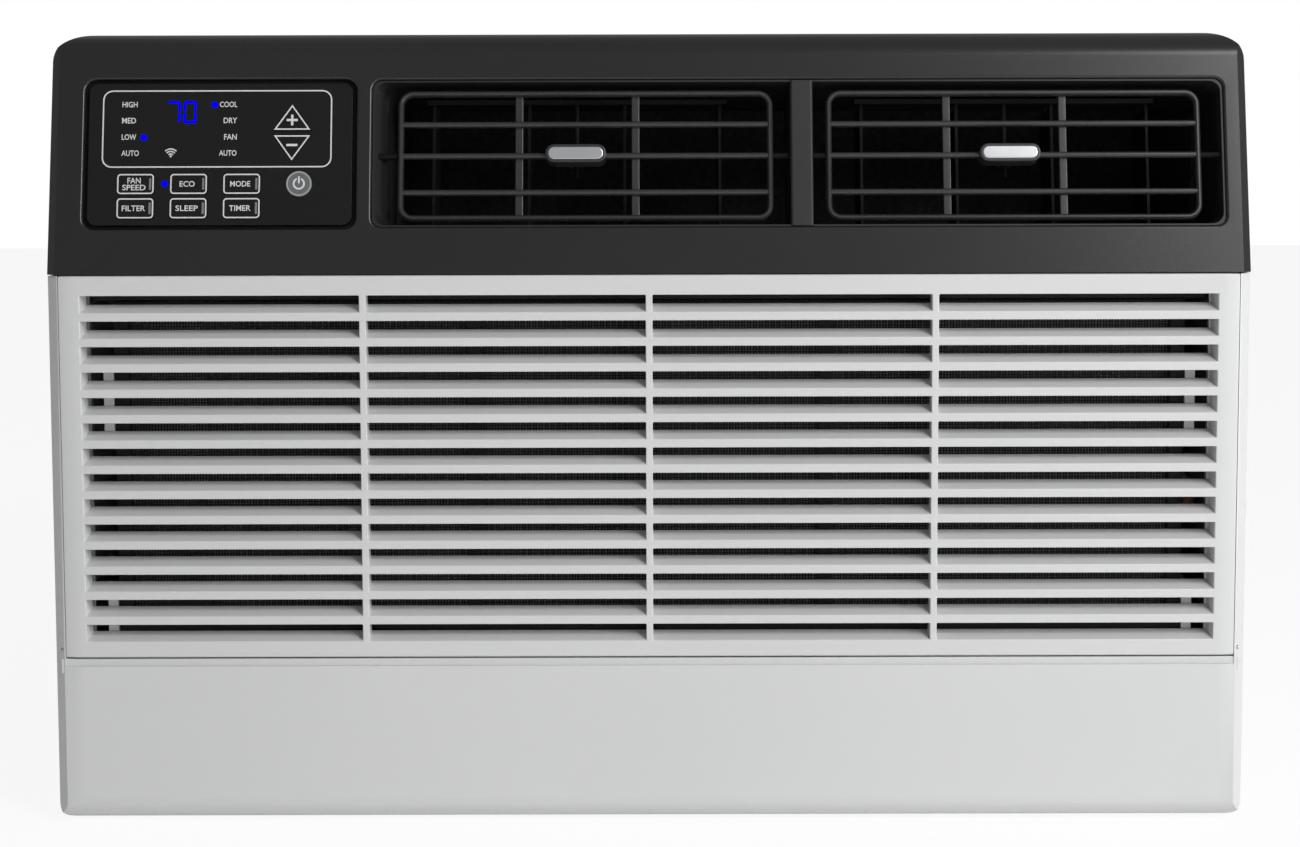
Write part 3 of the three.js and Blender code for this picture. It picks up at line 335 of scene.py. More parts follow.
def plastic(name, look):   # moulded plastic: fine grain, cloudy tone, patchy gloss
    look = {**moulded, **look}
    material, start, shader, place = newMaterial(name)
    grain = noise(start, place, look["grain"], 2)
    cloud = noise(start, place, look["cloud"], 4)
    share = (cloud - 0.5) * 1.6 + 0.5
    color = tint(start, share, look["color"], look["shade"])
    rough = (cloud - 0.5) * look["patchy"] + (grain - 0.5) * look["patchy"] + look["rough"]
    feed(start, shader, color=color, rough=rough)
    feed(start, shader, bump=bumped(start, grain, look["bump"], look["depth"]))
    shader.inputs["IOR"].default_value = look["ior"]
    return material


plasticLooks = {
    "whitePlastic": {"color": (0.592, 0.594, 0.596), "shade": (0.570, 0.573, 0.577), "rough": 0.36,
                     "grain": 2600, "cloud": 5, "bump": 0.10},
    "darkPlastic": {"color": (0.0125, 0.0128, 0.0135), "shade": (0.0145, 0.0148, 0.0155), "rough": 0.26,
                    "grain": 2400, "cloud": 6},
    "outletPlastic": {"color": (0.008, 0.0082, 0.0086), "shade": (0.010, 0.0102, 0.0106), "patchy": 0.06,
                      "grain": 1800, "cloud": 8, "ior": 1.45},
    "panelFilm": {"color": (0.0068, 0.0069, 0.0072), "shade": (0.0080, 0.0081, 0.0085), "rough": 0.30,
                  "patchy": 0.04, "grain": 3200, "cloud": 9, "bump": 0.06, "ior": 1.36},
    "wireGrey": {"color": (0.022, 0.0224, 0.0232), "shade": (0.027, 0.0274, 0.0282), "rough": 0.28,
                 "patchy": 0.06, "grain": 2000, "cloud": 14, "bump": 0.06, "ior": 1.55},
    "vaneBlack": {"color": (0.0035, 0.0035, 0.0037), "shade": (0.005, 0.005, 0.0053), "rough": 0.62,
                  "patchy": 0.08, "grain": 1500, "cloud": 12, "bump": 0.1, "ior": 1.22},
    "fanGrey": {"color": (0.060, 0.064, 0.070), "shade": (0.076, 0.080, 0.086), "patchy": 0.1,
                "grain": 900, "cloud": 10, "bump": 0.2, "depth": 0.0002},
    "filterBlack": {"color": (0.006, 0.006, 0.0065), "shade": (0.010, 0.010, 0.0105), "rough": 0.6,
                    "patchy": 0.1, "grain": 1200, "cloud": 12, "bump": 0.15, "ior": 1.3},
    "rubber": {"color": (0.010, 0.010, 0.010), "shade": (0.018, 0.018, 0.018), "rough": 0.75,
               "patchy": 0.12, "grain": 700, "cloud": 30, "bump": 0.3, "depth": 0.0003, "ior": 1.45},
    "powerGrey": {"color": (0.105, 0.108, 0.112), "shade": (0.125, 0.128, 0.132), "rough": 0.4,
                  "grain": 2600, "cloud": 40, "bump": 0.05},
    "printWhite": {"color": (0.62, 0.625, 0.63), "shade": (0.56, 0.565, 0.57), **inkFinish},
    "ringGrey": {"color": (0.27, 0.275, 0.28), "shade": (0.31, 0.315, 0.32), "rough": 0.4, **inkFinish},
    # the grey of the keys' painted highlight
    "paintedHighlightGrey": {"color": (0.15, 0.152, 0.155), "shade": (0.19, 0.192, 0.195), **inkFinish},
}


def enamel(name, look):   # painted or enamelled sheet with orange peel
    material, start, shader, place = newMaterial(name)
    peel = noise(start, place, look["peel"], 2)
    cloud = noise(start, place, look["cloud"], 5)
    color = tint(start, cloud, look["color"], look["shade"])
    rough = look["rough"] + (cloud - 0.5) * look["patchy"]
    feed(start, shader, color=color, rough=rough)
    feed(start, shader, bump=bumped(start, peel, look["bump"], 0.0004))
    return material


enamelLooks = {
    "casePaint": {"color": (0.46, 0.46, 0.44), "shade": (0.40, 0.40, 0.385), "rough": 0.5, "patchy": 0.18,
                  "peel": 420, "cloud": 7, "bump": 0.25},
    "blackPaint": {"color": (0.012, 0.012, 0.013), "shade": (0.020, 0.019, 0.019), "rough": 0.35,
                   "patchy": 0.2, "peel": 300, "cloud": 16, "bump": 0.3},
}


def zincSheet(look):   # spangled galvanised steel
    material, start, shader, place = newMaterial("zincSheet")
    flake = start.add("ShaderNodeTexVoronoi", {}, {"Vector": place, "Scale": look["flake"]}, "Color")
    tone = start.add("ShaderNodeSeparateColor", {}, {"Color": flake})
    stain = noise(start, place, look["stain"], 6)
    color = tint(start, tone, look["color"], look["shade"])
    rough = look["rough"] + (tone - 0.5) * look["patchy"] + (stain - 0.5) * look["patchy"]
    feed(start, shader, color=color, rough=rough, metal=0.9)
    feed(start, shader, bump=bumped(start, stain, 0.15, 0.0003))
    return material


zincLook = {"color": (0.50, 0.52, 0.53), "shade": (0.62, 0.635, 0.645), "rough": 0.42, "patchy": 0.22,
            "flake": 110, "stain": 22}


def bareMetal(name, look):   # drawn or ground metal with handling marks
    material, start, shader, place = newMaterial(name)
    scratch = start.add("ShaderNodeMapping", {}, {"Vector": place, "Scale": look["stretch"]})
    line = noise(start, scratch, look["line"], 4)
    stain = noise(start, place, look["stain"], 6)
    share = start.add("ShaderNodeMapRange", {}, {"Value": stain, "From Min": 0.42, "From Max": 0.68})
    color = tint(start, share, look["color"], look["shade"])
    rough = look["rough"] + (line - 0.5) * look["patchy"] + share * look["dull"]
    feed(start, shader, color=color, rough=rough, metal=look["metal"])
    feed(start, shader, bump=bumped(start, line, 0.08, 0.0002))
    return material


metalLooks = {
    "copper": {"color": (0.62, 0.30, 0.16), "shade": (0.36, 0.17, 0.10), "rough": 0.26, "patchy": 0.1,
               "dull": 0.25, "metal": 0.95, "stretch": (1, 1, 1), "line": 300, "stain": 24},
    "steel": {"color": (0.58, 0.59, 0.60), "shade": (0.44, 0.45, 0.46), "rough": 0.24, "patchy": 0.15,
              "dull": 0.1, "metal": 1.0, "stretch": (1, 0.1, 1), "line": 900, "stain": 40},
    "tabSilver": {"color": (0.60, 0.61, 0.63), "shade": (0.55, 0.56, 0.58), "rough": 0.30, "patchy": 0.1,
                  "dull": 0.05, "metal": 0.85, "stretch": (1, 1, 1), "line": 2400, "stain": 50},
}


def coilFins(look):   # pressed fins across with painted shade in the gaps between them, copper bends at the ends
    material, start, shader, place = newMaterial("coilFins")
    split = start.add("ShaderNodeSeparateXYZ", {}, {"Vector": place}, "X")
    ends = start.add("ShaderNodeMath", {"operation": "ABSOLUTE"}, {0: split})
    bend = ends > look["bendsFrom"]
    stripes = {"wave_type": "BANDS", "bands_direction": "X", "wave_profile": "SAW"}
    fin = start.add("ShaderNodeTexWave", stripes, {"Vector": place, "Scale": look["fins"]}, "Fac")
    dent = noise(start, place, look["dent"], 5)
    # each fin stripe ramps from painted shade in the gap up to the fin's own bright aluminium
    finsWithGapShade = tint(start, fin, look["gapShade"], look["crest"])
    dusty = tint(start, dent, finsWithGapShade, look["dust"])
    aluminium = tint(start, 0.25, finsWithGapShade, dusty)
    color = tint(start, bend, aluminium, look["copper"])
    rough = look["rough"] + (dent - 0.5) * 0.3
    height = fin * (1 - bend) + dent * 0.4
    feed(start, shader, color=color, rough=rough, metal=0.85)
    feed(start, shader, bump=bumped(start, height, 0.6, 0.0006))
    return material


finLook = {"fins": 90, "dent": 40, "gapShade": (0.10, 0.105, 0.11), "crest": (0.55, 0.57, 0.58),
           "dust": (0.30, 0.29, 0.27), "copper": (0.55, 0.27, 0.15), "bendsFrom": 0.3, "rough": 0.38}


def beadFoam(look):   # pressed bead foam, with painted shade in the creases between beads
    material, start, shader, place = newMaterial("beadFoam")
    bead = start.add("ShaderNodeTexVoronoi", {}, {"Vector": place, "Scale": look["bead"]}, "Distance")
    cloud = noise(start, place, 12, 3)
    # the beads darken towards their edges: painted shade in the creases between beads
    color = tint(start, bead * 1.2, look["color"], look["shade"])
    feed(start, shader, color=color, rough=look["rough"] + (cloud - 0.5) * 0.1)
    feed(start, shader, bump=bumped(start, 1 - bead, 0.5, 0.0008))
    return material


foamLook = {"bead": 260, "color": (0.055, 0.055, 0.057), "shade": (0.030, 0.030, 0.031), "rough": 0.85}


def circuitBoard(look):   # solder mask with tracks
    material, start, shader, place = newMaterial("circuitBoard")
    tones = {"Color1": (*look["mask"], 1), "Color2": (*look["track"], 1), "Mortar": (*look["pad"], 1)}
    tracks = start.add("ShaderNodeTexBrick", {}, {"Vector": place, "Scale": look["tracks"], **tones})
    grain = noise(start, place, 500, 2)
    feed(start, shader, color=tracks, rough=look["rough"] + (grain - 0.5) * 0.2)
    feed(start, shader, bump=bumped(start, grain, 0.1, 0.0002))
    return material


boardLook = {"tracks": 90, "mask": (0.012, 0.07, 0.03), "track": (0.02, 0.11, 0.05),
             "pad": (0.35, 0.33, 0.25), "rough": 0.35}


def wovenScreen(look):   # threads crossing, open between
    material, start, shader, place = newMaterial("wovenScreen")
    weave = []
    for direction in ("X", "Z"):
        stripes = {"wave_type": "BANDS", "bands_direction": direction}
        inputs = {"Vector": place, "Scale": look["threads"]}
        weave.append(start.add("ShaderNodeTexWave", stripes, inputs, "Fac"))
    thread = start.add("ShaderNodeMath", {"operation": "MAXIMUM"}, {0: weave[0], 1: weave[1]})
    cloud = noise(start, place, 14, 4)
    color = tint(start, cloud, look["color"], look["dust"])
    feed(start, shader, color=color, rough=look["rough"] + (cloud - 0.5) * 0.1, alpha=thread > look["open"])
    feed(start, shader, bump=bumped(start, thread, 0.5, 0.0004))
    return material


screenLook = {"threads": 190, "open": 0.62, "color": (0.006, 0.006, 0.0065), "dust": (0.012, 0.0115, 0.011),
              "rough": 0.7}


def litBlue(look):   # lamps behind the film
    material, start, shader, place = newMaterial("litBlue")
    cell = noise(start, place, look["cell"], 2)
    glow = tint(start, cell, look["bright"], look["dim"])
    feed(start, shader, glow=glow, color=tint(start, cell, look["body"], look["dim"]), rough=0.3)
    shader.inputs["Emission Strength"].default_value = look["strength"]
    shader.inputs["IOR"].default_value = 1.05
    return material


blueLook = {"cell": 900, "bright": (0.0, 0.0, 1.0), "dim": (0.0, 0.0, 0.9), "body": (0.0, 0.0, 0.05),
            "strength": 1.0}

mats = {name: plastic(name, look) for name, look in plasticLooks.items()}
mats |= {name: enamel(name, look) for name, look in enamelLooks.items()}
mats |= {name: bareMetal(name, look) for name, look in metalLooks.items()}
mats |= {"zincSheet": zincSheet(zincLook), "coilFins": coilFins(finLook), "beadFoam": beadFoam(foamLook),
         "circuitBoard": circuitBoard(boardLook), "wovenScreen": wovenScreen(screenLook),
         "litBlue": litBlue(blueLook)}
print("materials made")


# the dark fascia across the top of the front

fascia = {"crown": 0.018, "crownCuts": 12, "cornerWide": 0.022, "cornerTall": 0.0155, "facet": 0.005,
          "wall": 0.003, "edge": 0.0005, "rim": 0.0015, "trayDeep": 0.0034, "trayWide": 0.002,
          "outletGap": 0.0003, "outletRound": 0.0055, "panelGap": 0.0024, "panelRound": 0.0065}


def stretchUp(piece, share):
    piece.scale.z = share
    settle(piece)


def makeFascia(look):
    piece = block("fascia", fasciaLow, fasciaHigh)
    share = look["cornerWide"] / look["cornerTall"]
    stretchUp(piece, share)
    top = fasciaHigh.z * share
    roundEdges(piece, lambda e: along(e, 1) and middle(e).z > top - 1e-4, look["cornerWide"], 12)
    stretchUp(piece, 1 / share)
    radius = look["crown"]
    centreZ = fasciaHigh.z - radius
    centreY = front + (centreZ - seam) * math.tan(lean) + radius / math.cos(lean)
    for i in range(look["crownCuts"]):   # the lean itself first, then round the crown
        angle = lean + (math.pi / 2 - lean) * i / look["crownCuts"]
        normal = Vector((0, -math.cos(angle), math.sin(angle)))
        trim(piece, Vector((0, centreY, centreZ)) + radius * normal, normal)
    for sign in (-1, 1):
        point = faceMatrix @ Vector((sign * (side - look["facet"]), 0, 0))
        trim(piece, point, faceMatrix.to_3x3() @ Vector((sign, 0, 1)).normalized())
    hollow(piece, lambda f: f.normal.y > 0.99 or f.normal.z < -0.99, look["wall"])
    toFace = faceMatrix.inverted()
    openings = []
    for node, kind in (("outlet_housing", "outlet"), ("control_panel", "panel")):
        low, high = faceBox(node)
        gap = look[kind + "Gap"]
        grow = Vector((gap, gap, 0.01))
        carve(piece, ontoFace(plate("opening", low - grow, high + grow, look[kind + "Round"])))
        near = Vector((gap + 1e-4, gap + 1e-4, 0))
        openings.append((low - near, high + near))

    def onRim(edge):   # the openings' front edges
        spot = toFace @ middle(edge)
        inside = [least.x < spot.x < most.x and least.y < spot.y < most.y for least, most in openings]
        return abs(spot.z) < 2e-4 and any(inside)

    roundEdges(piece, onRim, look["rim"], 5)
    soften(piece, look["edge"], 2)
    hand(piece, "chassis", mats["darkPlastic"], "dark_plastic", "top_fascia")
    deep = look["trayDeep"]   # a ledge behind the gap round the panel; the ledge is real, its near-black is painted shade in the gap
    outer = look["panelGap"] + look["trayWide"]
    trayLow = (low.x - outer, low.y - outer, -deep - 0.001)
    tray = plate("panelShadeLedge", trayLow, (high.x + outer, high.y + outer, -deep), 0.008)
    clearance = Vector((0.0003, 0.0003, 0.01))
    carve(tray, plate("trayHole", low - clearance, high + clearance, 0.0052))
    hand(ontoFace(soften(tray, 0.0002)), "chassis", mats["vaneBlack"], "dark_plastic")


makeFascia(fascia)
print("fascia made")


# the white front frame and the louvred door

shell = {"chinRound": 0.015, "chinCuts": 10, "corner": 0.009, "facet": 0.0068, "wall": 0.003,
         "softFrom": 0.018, "softRadius": 0.060, "softTurn": 12, "softCuts": 4, "edge": 0.0005,
         "cheek": 0.0064, "groove": 0.005, "grooveDeep": 0.0016, "lipRoom": 0.0008, "wallIn": 0.004,
         "shelfBack": 0.0098, "rail": (0.0165, 0.026), "railTall": (0.0112, 0.0013), "hookHole": 0.0075,
         "seal": (0.0175, 0.0255), "sealTall": (0.0154, 0.0113), "sealHalf": 0.312}


def softSides(piece, look):   # the front bends back gently before the side facets
    for sign in (-1, 1):
        for i in range(1, look["softCuts"] + 1):
            angle = math.radians(look["softTurn"]) * i / look["softCuts"]
            normal = Vector((sign * math.sin(angle), -math.cos(angle), 0))
            centre = Vector((sign * (side - look["softFrom"]), front + look["softRadius"], 0))
            trim(piece, centre + look["softRadius"] * normal, normal)


def crossBar(name, half, behind, below):   # a bar across, behind the front and below the seam
    low = (-half, front + behind[0], seam - below[0])
    return block(name, low, (half, front + behind[1], seam - below[1]))


def makeFrontFrame(look):
    piece = block("frontShell", frameLow, frameHigh)
    foot = frameLow.z
    roundEdges(piece, lambda e: along(e, 1) and middle(e).z < foot + 1e-4, look["corner"], 8)
    radius = look["chinRound"]
    for i in range(1, look["chinCuts"]):
        angle = math.pi / 2 * i / look["chinCuts"]
        normal = Vector((0, -math.cos(angle), -math.sin(angle)))
        trim(piece, Vector((0, front + radius, foot + radius)) + radius * normal, normal)
    softSides(piece, look)
    for sign in (-1, 1):
        trim(piece, (sign * (side - look["facet"]), front, 0), Vector((sign, -1, 0)).normalized())
    hollow(piece, lambda f: f.normal.y > 0.99 or f.normal.z > 0.99, look["wall"])
    chinTop = doorLow.z - look["groove"]
    inner = side - look["cheek"]
    carve(piece, block("opening", (-inner, front - 0.01, chinTop), (inner, front + 0.004, seam + 0.01)))
    soften(piece, look["edge"], 3)
    wallIn = side - look["wallIn"]
    shelfTop = doorLow.z - look["lipRoom"]
    shelf = block("shelf", (-wallIn, front + look["grooveDeep"], chinTop - 0.004),
                  (wallIn, front + look["shelfBack"], shelfTop))
    roundEdges(shelf, lambda e: along(e, 0) and middle(e).z > shelfTop - 1e-4, 0.0006, 2)
    rail = crossBar("rail", wallIn, look["rail"], look["railTall"])
    half = look["hookHole"]
    for sign in (-1, 1):   # the door's hooks snap in here
        low = Vector((sign * door["hookAt"] - half, front + 0.01, seam - 0.007))
        carve(rail, block("hookHole", low, low + Vector((2 * half, 0.014, 0.0055))))
    soften(rail, 0.0006)
    merge(piece, [shelf, rail])
    seal = crossBar("railSeal", look["sealHalf"], look["seal"], look["sealTall"])
    roundEdges(seal, lambda e: along(e, 0), 0.0012, 3)
    hand(soften(seal, 0), "chassis", mats["rubber"], "rubber")
    return hand(piece, "chassis", mats["whitePlastic"], "white_plastic", "front_frame")


door = {"rows": 14, "pitch": 0.0142, "slat": 0.0049, "rise": 0.0044, "deep": 0.0115, "half": 0.3166,
        "topMargin": 0.012, "post": 0.0038, "columns": 4, "draft": 0.0021, "edge": 0.0006, "lip": 0.005,
        "hookAt": 0.22, "hook": (0.012, 0.0115, 0.0024), "barb": (0.012, 0.003, 0.0014)}


def makeDoor(look):
    backFace = front + look["deep"]
    piece = block("intakeDoor", (doorLow.x, front, doorLow.z), (doorHigh.x, backFace, doorHigh.z))
    softSides(piece, shell)
    for edgeZ, reach in ((doorLow.z, 0.0013), (doorHigh.z, 0.0012)):
        roundEdges(piece, lambda e: along(e, 0) and abs(middle(e).z - edgeZ) < 1e-4
                   and middle(e).y < front + 0.004, reach, 4)
    slotTop = seam - look["topMargin"]
    lowest = slotTop - look["rows"] * look["pitch"]
    carve(piece, block("lipRoom", (-side, front + look["lip"], 0), (side, backFace + 0.01, lowest + 0.0018)))
    wide = (2 * look["half"] + look["post"]) / look["columns"]
    slope = look["rise"] / look["deep"]
    ahead, behind = 0.002, look["deep"] + 0.002
    low = Vector((-look["half"], front - ahead, slotTop - look["pitch"] + look["slat"]))
    high = Vector((-look["half"] + wide - look["post"], front + behind, slotTop))
    slot = block("slot", low, high)
    for isBack, drift in ((False, -slope * ahead), (True, slope * behind)):
        shift(slot, lambda v: (v.co.y > front) == isBack, (0, 0, drift))
    repeat(slot, look["rows"], (0, 0, -look["pitch"]))
    repeat(slot, look["columns"], (wide, 0, 0))
    for sign in (-1, 1):   # the outer ends have draft
        shift(slot, lambda v: sign * v.co.x > look["half"] - 1e-4 and v.co.y > (front + backFace) / 2,
              (-sign * look["draft"], 0, 0))
    carve(piece, slot)
    soften(piece, look["edge"], 2)
    hooks = []
    for sign in (-1, 1):
        hookSize = Vector(look["hook"])
        low = Vector((sign * look["hookAt"] - hookSize.x / 2, backFace - 0.001, doorHigh.z - 0.0046))
        tongue = block("hook", low, low + hookSize)
        tip = low + Vector((0, 0.0085, 0.002))
        carve(tongue, block("barb", tip, tip + Vector(look["barb"])), "UNION")
        hooks.append(soften(tongue, 0.0005))
    merge(piece, hooks)
    return hand(piece, "intake_door", mats["whitePlastic"], "white_plastic", "intake_grille")


makeFrontFrame(shell)
makeDoor(door)
print("front frame and door made")


# the control panel, worked flat and then laid on the leaning face

panelLow, panelHigh = faceBox("control_panel")
keyNames = ["power", "fan_speed", "eco", "mode", "filter", "sleep", "timer", "up", "down"]
keyBoxes = {name: faceBox("button_" + name, -0.002) for name in keyNames}
keyLook = {"round": 0.002, "gap": 0.0003, "edge": 0.00025, "line": 0.00075, "ink": 0.00006,
           "flange": 0.0007, "wordTall": 0.0032, "wordShift": 0.0008, "powerSign": 0.0034,
           "powerGate": 0.0012, "powerLine": 0.0010, "powerRing": 0.0070, "ringLine": 0.0009,
           "signHalf": 0.0031, "signLine": 0.00065, "signAt": 0.0016, "paintedHighlight": (0.0028, 0.0016),
           "paintedHighlightHalf": 0.0033, "arrowInset": (0.0010, 0.0005)}


def keyBlank(name, grow, low, high):   # the outline of a key between two heights
    boxLow, boxHigh = keyBoxes[name]
    boxLow = Vector((boxLow.x - grow, boxLow.y - grow, low))
    boxHigh = Vector((boxHigh.x + grow, boxHigh.y + grow, high))
    if name in ("up", "down"):
        turn = 0 if name == "up" else math.pi
        blank = fit(rod("blank", 3, 0.01, 0.01, turn=(0, 0, turn)), boxLow, boxHigh)
        roundEdges(blank, lambda e: along(e, 2), 0.0009, 4)
        return blank
    if name == "power":
        return fit(rod("blank", 64, 0.01, 0.01), boxLow, boxHigh)
    return plate("blank", boxLow, boxHigh, keyLook["round"] + grow)


def rim(name, low, high, radius, line, level):   # a printed line round a box
    return openRing(outline(name, low, high, level, radius), line)


def openRing(piece, line):   # from a flat face in edit mode to a thin ring
    bpy.ops.mesh.select_all(action="SELECT")
    bpy.ops.mesh.inset(thickness=line, depth=0)
    bpy.ops.mesh.delete(type="FACE")
    done()
    return change(piece, "SOLIDIFY", thickness=keyLook["ink"], offset=0)


def circleRing(name, x, y, radius, line, level):
    clear()
    bpy.ops.mesh.primitive_circle_add(vertices=64, radius=radius, fill_type="NGON", location=(x, y, level))
    piece = settle(named(name))
    bpy.ops.object.mode_set(mode="EDIT")
    return openRing(piece, line)


def word(text, x, y, wide, tall, level):   # lettering whose lower left corner is at x, y
    clear()
    bpy.ops.object.text_add()
    piece = bpy.context.object
    piece.data.body = text
    piece.data.extrude = 0.01
    piece.data.offset = 0.012
    piece.data.resolution_u = 3
    bpy.ops.object.convert(target="MESH")
    named("word")
    half = keyLook["ink"] / 2
    return fit(bpy.context.object, (x, y, level - half), (x + wide, y + tall, level + half))


def bar(x0, x1, y0, y1, level):
    half = keyLook["ink"] / 2
    return block("bar", (x0, y0, level - half), (x1, y1, level + half))


def dot(x, y, radius, level):
    return rod("dot", 28, radius, keyLook["ink"], (x, y, level))


panel = {"round": 0.005, "window": ((0.0075, 0.0327), (0.1358, 0.0769)), "windowRound": 0.0056,
         "label": 0.0032, "rows": (0.0688, 0.0596, 0.0502, 0.0410), "fanColumn": 0.0184,
         "modeColumn": 0.0827, "fanWords": {"HIGH": 0.0085, "MED": 0.0078, "LOW": 0.0081, "AUTO": 0.0098},
         "modeWords": {"COOL": 0.0098, "DRY": 0.0075, "FAN": 0.0071, "AUTO": 0.0098},
         "waves": (0.0460, 0.0388), "waveRounds": (0.0021, 0.0035, 0.0049), "waveLine": 0.0007,
         "waveDot": 0.0006, "digitTall": 0.0127, "digitWide": 0.0072, "digitPitch": 0.0089,
         "digitAt": (0.0438, 0.0580), "digitLine": 0.0013, "lamp": 0.0018,
         "lamps": ((0.0700, 0.0687), (0.0307, 0.0500), (0.0429, 0.0236))}


def makePanel(look):   # the film, its printing and the lamps
    piece = plate("controlPanel", panelLow, panelHigh, look["round"])
    for name in keyNames:
        carve(piece, keyBlank(name, keyLook["gap"], panelLow.z - 0.001, panelHigh.z + 0.001))
    soften(piece, 0.0002)
    hand(ontoFace(piece), "chassis", mats["panelFilm"], "panel_black", "control_panel")

    level = panelHigh.z + keyLook["ink"] * 0.6
    left, foot = panelLow.x, panelLow.y
    low, high = [Vector((left + x, foot + y, 0)) for x, y in look["window"]]
    ink = [rim("panelPrint", low, high, look["windowRound"], keyLook["line"], level)]
    tall = look["label"]
    fanColumn, modeColumn = left + look["fanColumn"], left + look["modeColumn"]
    rows = zip(look["fanWords"].items(), look["modeWords"].items(), look["rows"])
    for (fanWord, fanWide), (modeWord, modeWide), up in rows:
        y = foot + up - tall / 2
        ink.append(word(fanWord, fanColumn, y, fanWide, tall, level))
        ink.append(word(modeWord, modeColumn - modeWide, y, modeWide, tall, level))
    waveX, waveY = left + look["waves"][0], foot + look["waves"][1]
    for radius in look["waveRounds"]:
        arc = circleRing("arc", waveX, waveY, radius, look["waveLine"], level)
        for sign in (-1, 1):
            trim(arc, (waveX, waveY, 0), Vector((sign, -0.95, 0)).normalized())
        ink.append(arc)
    ink.append(dot(waveX, waveY + 0.0004, look["waveDot"], level))
    printed = merge(ink[0], ink[1:])
    hand(ontoFace(printed), "chassis", mats["printWhite"], "panel_black")

    digitX, digitY = left + look["digitAt"][0], foot + look["digitAt"][1]
    lamps = [digit(digitX + i * look["digitPitch"], digitY, bars, look, level)
             for i, bars in enumerate(("abc", "abcdef"))]
    lamps += [dot(left + x, foot + up, look["lamp"], level) for x, up in look["lamps"]]
    lit = merge(lamps[0], lamps[1:])
    lit.name = "panelLamps"
    hand(ontoFace(lit), "chassis", mats["litBlue"], "display_blue")


def segment(x0, x1, y0, y1, level):   # one bar of a digit, pointed at both ends
    piece = bar(x0, x1, y0, y1, level)
    point = min(x1 - x0, y1 - y0) * 0.48
    roundEdges(piece, lambda e: along(e, 2), point, 1)
    return piece


def digit(x, y, lit, look, level):   # a seven-bar digit with its lower left corner at x, y
    wide, tall, line = look["digitWide"], look["digitTall"], look["digitLine"]
    half = tall / 2
    chink = 0.0002
    bars = {
        "a": (x + chink, x + wide - chink, y + tall - line, y + tall),
        "b": (x + wide - line, x + wide, y + half + chink, y + tall - line / 2),
        "c": (x + wide - line, x + wide, y + line / 2, y + half - chink),
        "d": (x + chink, x + wide - chink, y, y + line),
        "e": (x, x + line, y + line / 2, y + half - chink),
        "f": (x, x + line, y + half + chink, y + tall - line / 2),
    }
    made = [segment(*bars[name], level) for name in lit]
    return merge(made[0], made[1:])


keyWords = {   # each word, its width and its foot above the key's middle
    "fan_speed": (("FAN", 0.0074, 0.0003), ("SPEED", 0.0130, -0.0036)),
    "eco": (("ECO", 0.0084, -0.0016),),
    "mode": (("MODE", 0.0112, -0.0016),),
    "filter": (("FILTER", 0.0130, -0.0016),),
    "sleep": (("SLEEP", 0.0124, -0.0016),),
    "timer": (("TIMER", 0.0120, -0.0016),),
}


def makeKey(name, look):
    body = "key_" + name
    low, high = keyBoxes[name]
    back = faceBox("button_" + name)[0].z
    cap = keyBlank(name, 0, back, high.z)
    roundEdges(cap, lambda e: middle(e).z > high.z - 1e-5, look["edge"], 3)
    merge(cap, [keyBlank(name, look["flange"], back, back + 0.002)])
    cap.name = body
    soften(cap, 0)
    material = mats["powerGrey"] if name == "power" else mats["panelFilm"]
    hand(ontoFace(cap), body, material, "key_black", "button_" + name)

    level = high.z + look["ink"] * 0.6
    x, y = (low.x + high.x) / 2, (low.y + high.y) / 2
    if name == "power":
        ink = powerSign(x, y, look, level)
        ring = circleRing("keyRing_power", x, y, look["powerRing"], look["ringLine"], level)
        hand(ontoFace(ring), body, mats["ringGrey"], "key_black")
    elif name in ("up", "down"):
        ink = [triangleLine(name, look, level)]
        signY = y - look["signAt"] if name == "up" else y + look["signAt"]
        half, line = look["signHalf"], look["signLine"]
        ink.append(bar(x - half, x + half, signY - line, signY + line, level))
        if name == "up":   # the plus's second stroke lies a hair higher
            ink.append(bar(x - line, x + line, signY - half, signY + half, level + 0.00002))
    else:
        inset = Vector((0.0002, 0.0002, 0))
        ink = [rim("outline", low + inset, high - inset, look["round"], look["line"], level)]
        for text, wide, up in keyWords[name]:
            left = x - wide / 2 - look["wordShift"]
            ink.append(word(text, left, y + up, wide, look["wordTall"], level))
        # a lighter grey bar near each key's right end is a painted highlight on the key's face
        highlightFrom, highlightTo = look["paintedHighlight"]
        half = look["paintedHighlightHalf"]
        paintedHighlight = bar(high.x - highlightFrom, high.x - highlightTo, y - half, y + half, level)
        paintedHighlight.name = "keyPaintedHighlight_" + name
        roundEdges(paintedHighlight, lambda e: along(e, 2), 0.0003, 3)
        hand(ontoFace(paintedHighlight), body, mats["paintedHighlightGrey"], "key_black")
    printed = merge(ink[0], ink[1:])
    printed.name = "keyPrint_" + name
    hand(ontoFace(printed), body, mats["printWhite"], "key_black")


def powerSign(x, y, look, level):   # a ring open at the top, with a short bar in the gap
    gap = look["powerGate"]
    ring = circleRing("sign", x, y, look["powerSign"], look["powerLine"], level)
    carve(ring, block("gate", (x - gap, y, level - 0.001), (x + gap, y + 0.005, level + 0.001)))
    half = look["powerLine"] / 2
    return [ring, bar(x - half, x + half, y + 0.0002, y + 0.0042, level)]


def triangleLine(name, look, level):   # the line inside an arrow key's edge
    low, high = keyBoxes[name]
    clear()
    turn = 0 if name == "up" else math.pi
    bpy.ops.mesh.primitive_circle_add(vertices=3, radius=0.01, fill_type="NGON", rotation=(0, 0, turn))
    inset = Vector((*look["arrowInset"], 0))   # clear of the key's rounded corners
    low, high = low + inset, high - inset
    piece = fit(named("outline"), (low.x, low.y, level), (high.x, high.y, level))
    bpy.ops.object.mode_set(mode="EDIT")
    return openRing(piece, look["line"])


makePanel(panel)
for keyName in keyNames:
    makeKey(keyName, keyLook)
print("panel and keys made")


# the air outlets with their deflectors and tabs

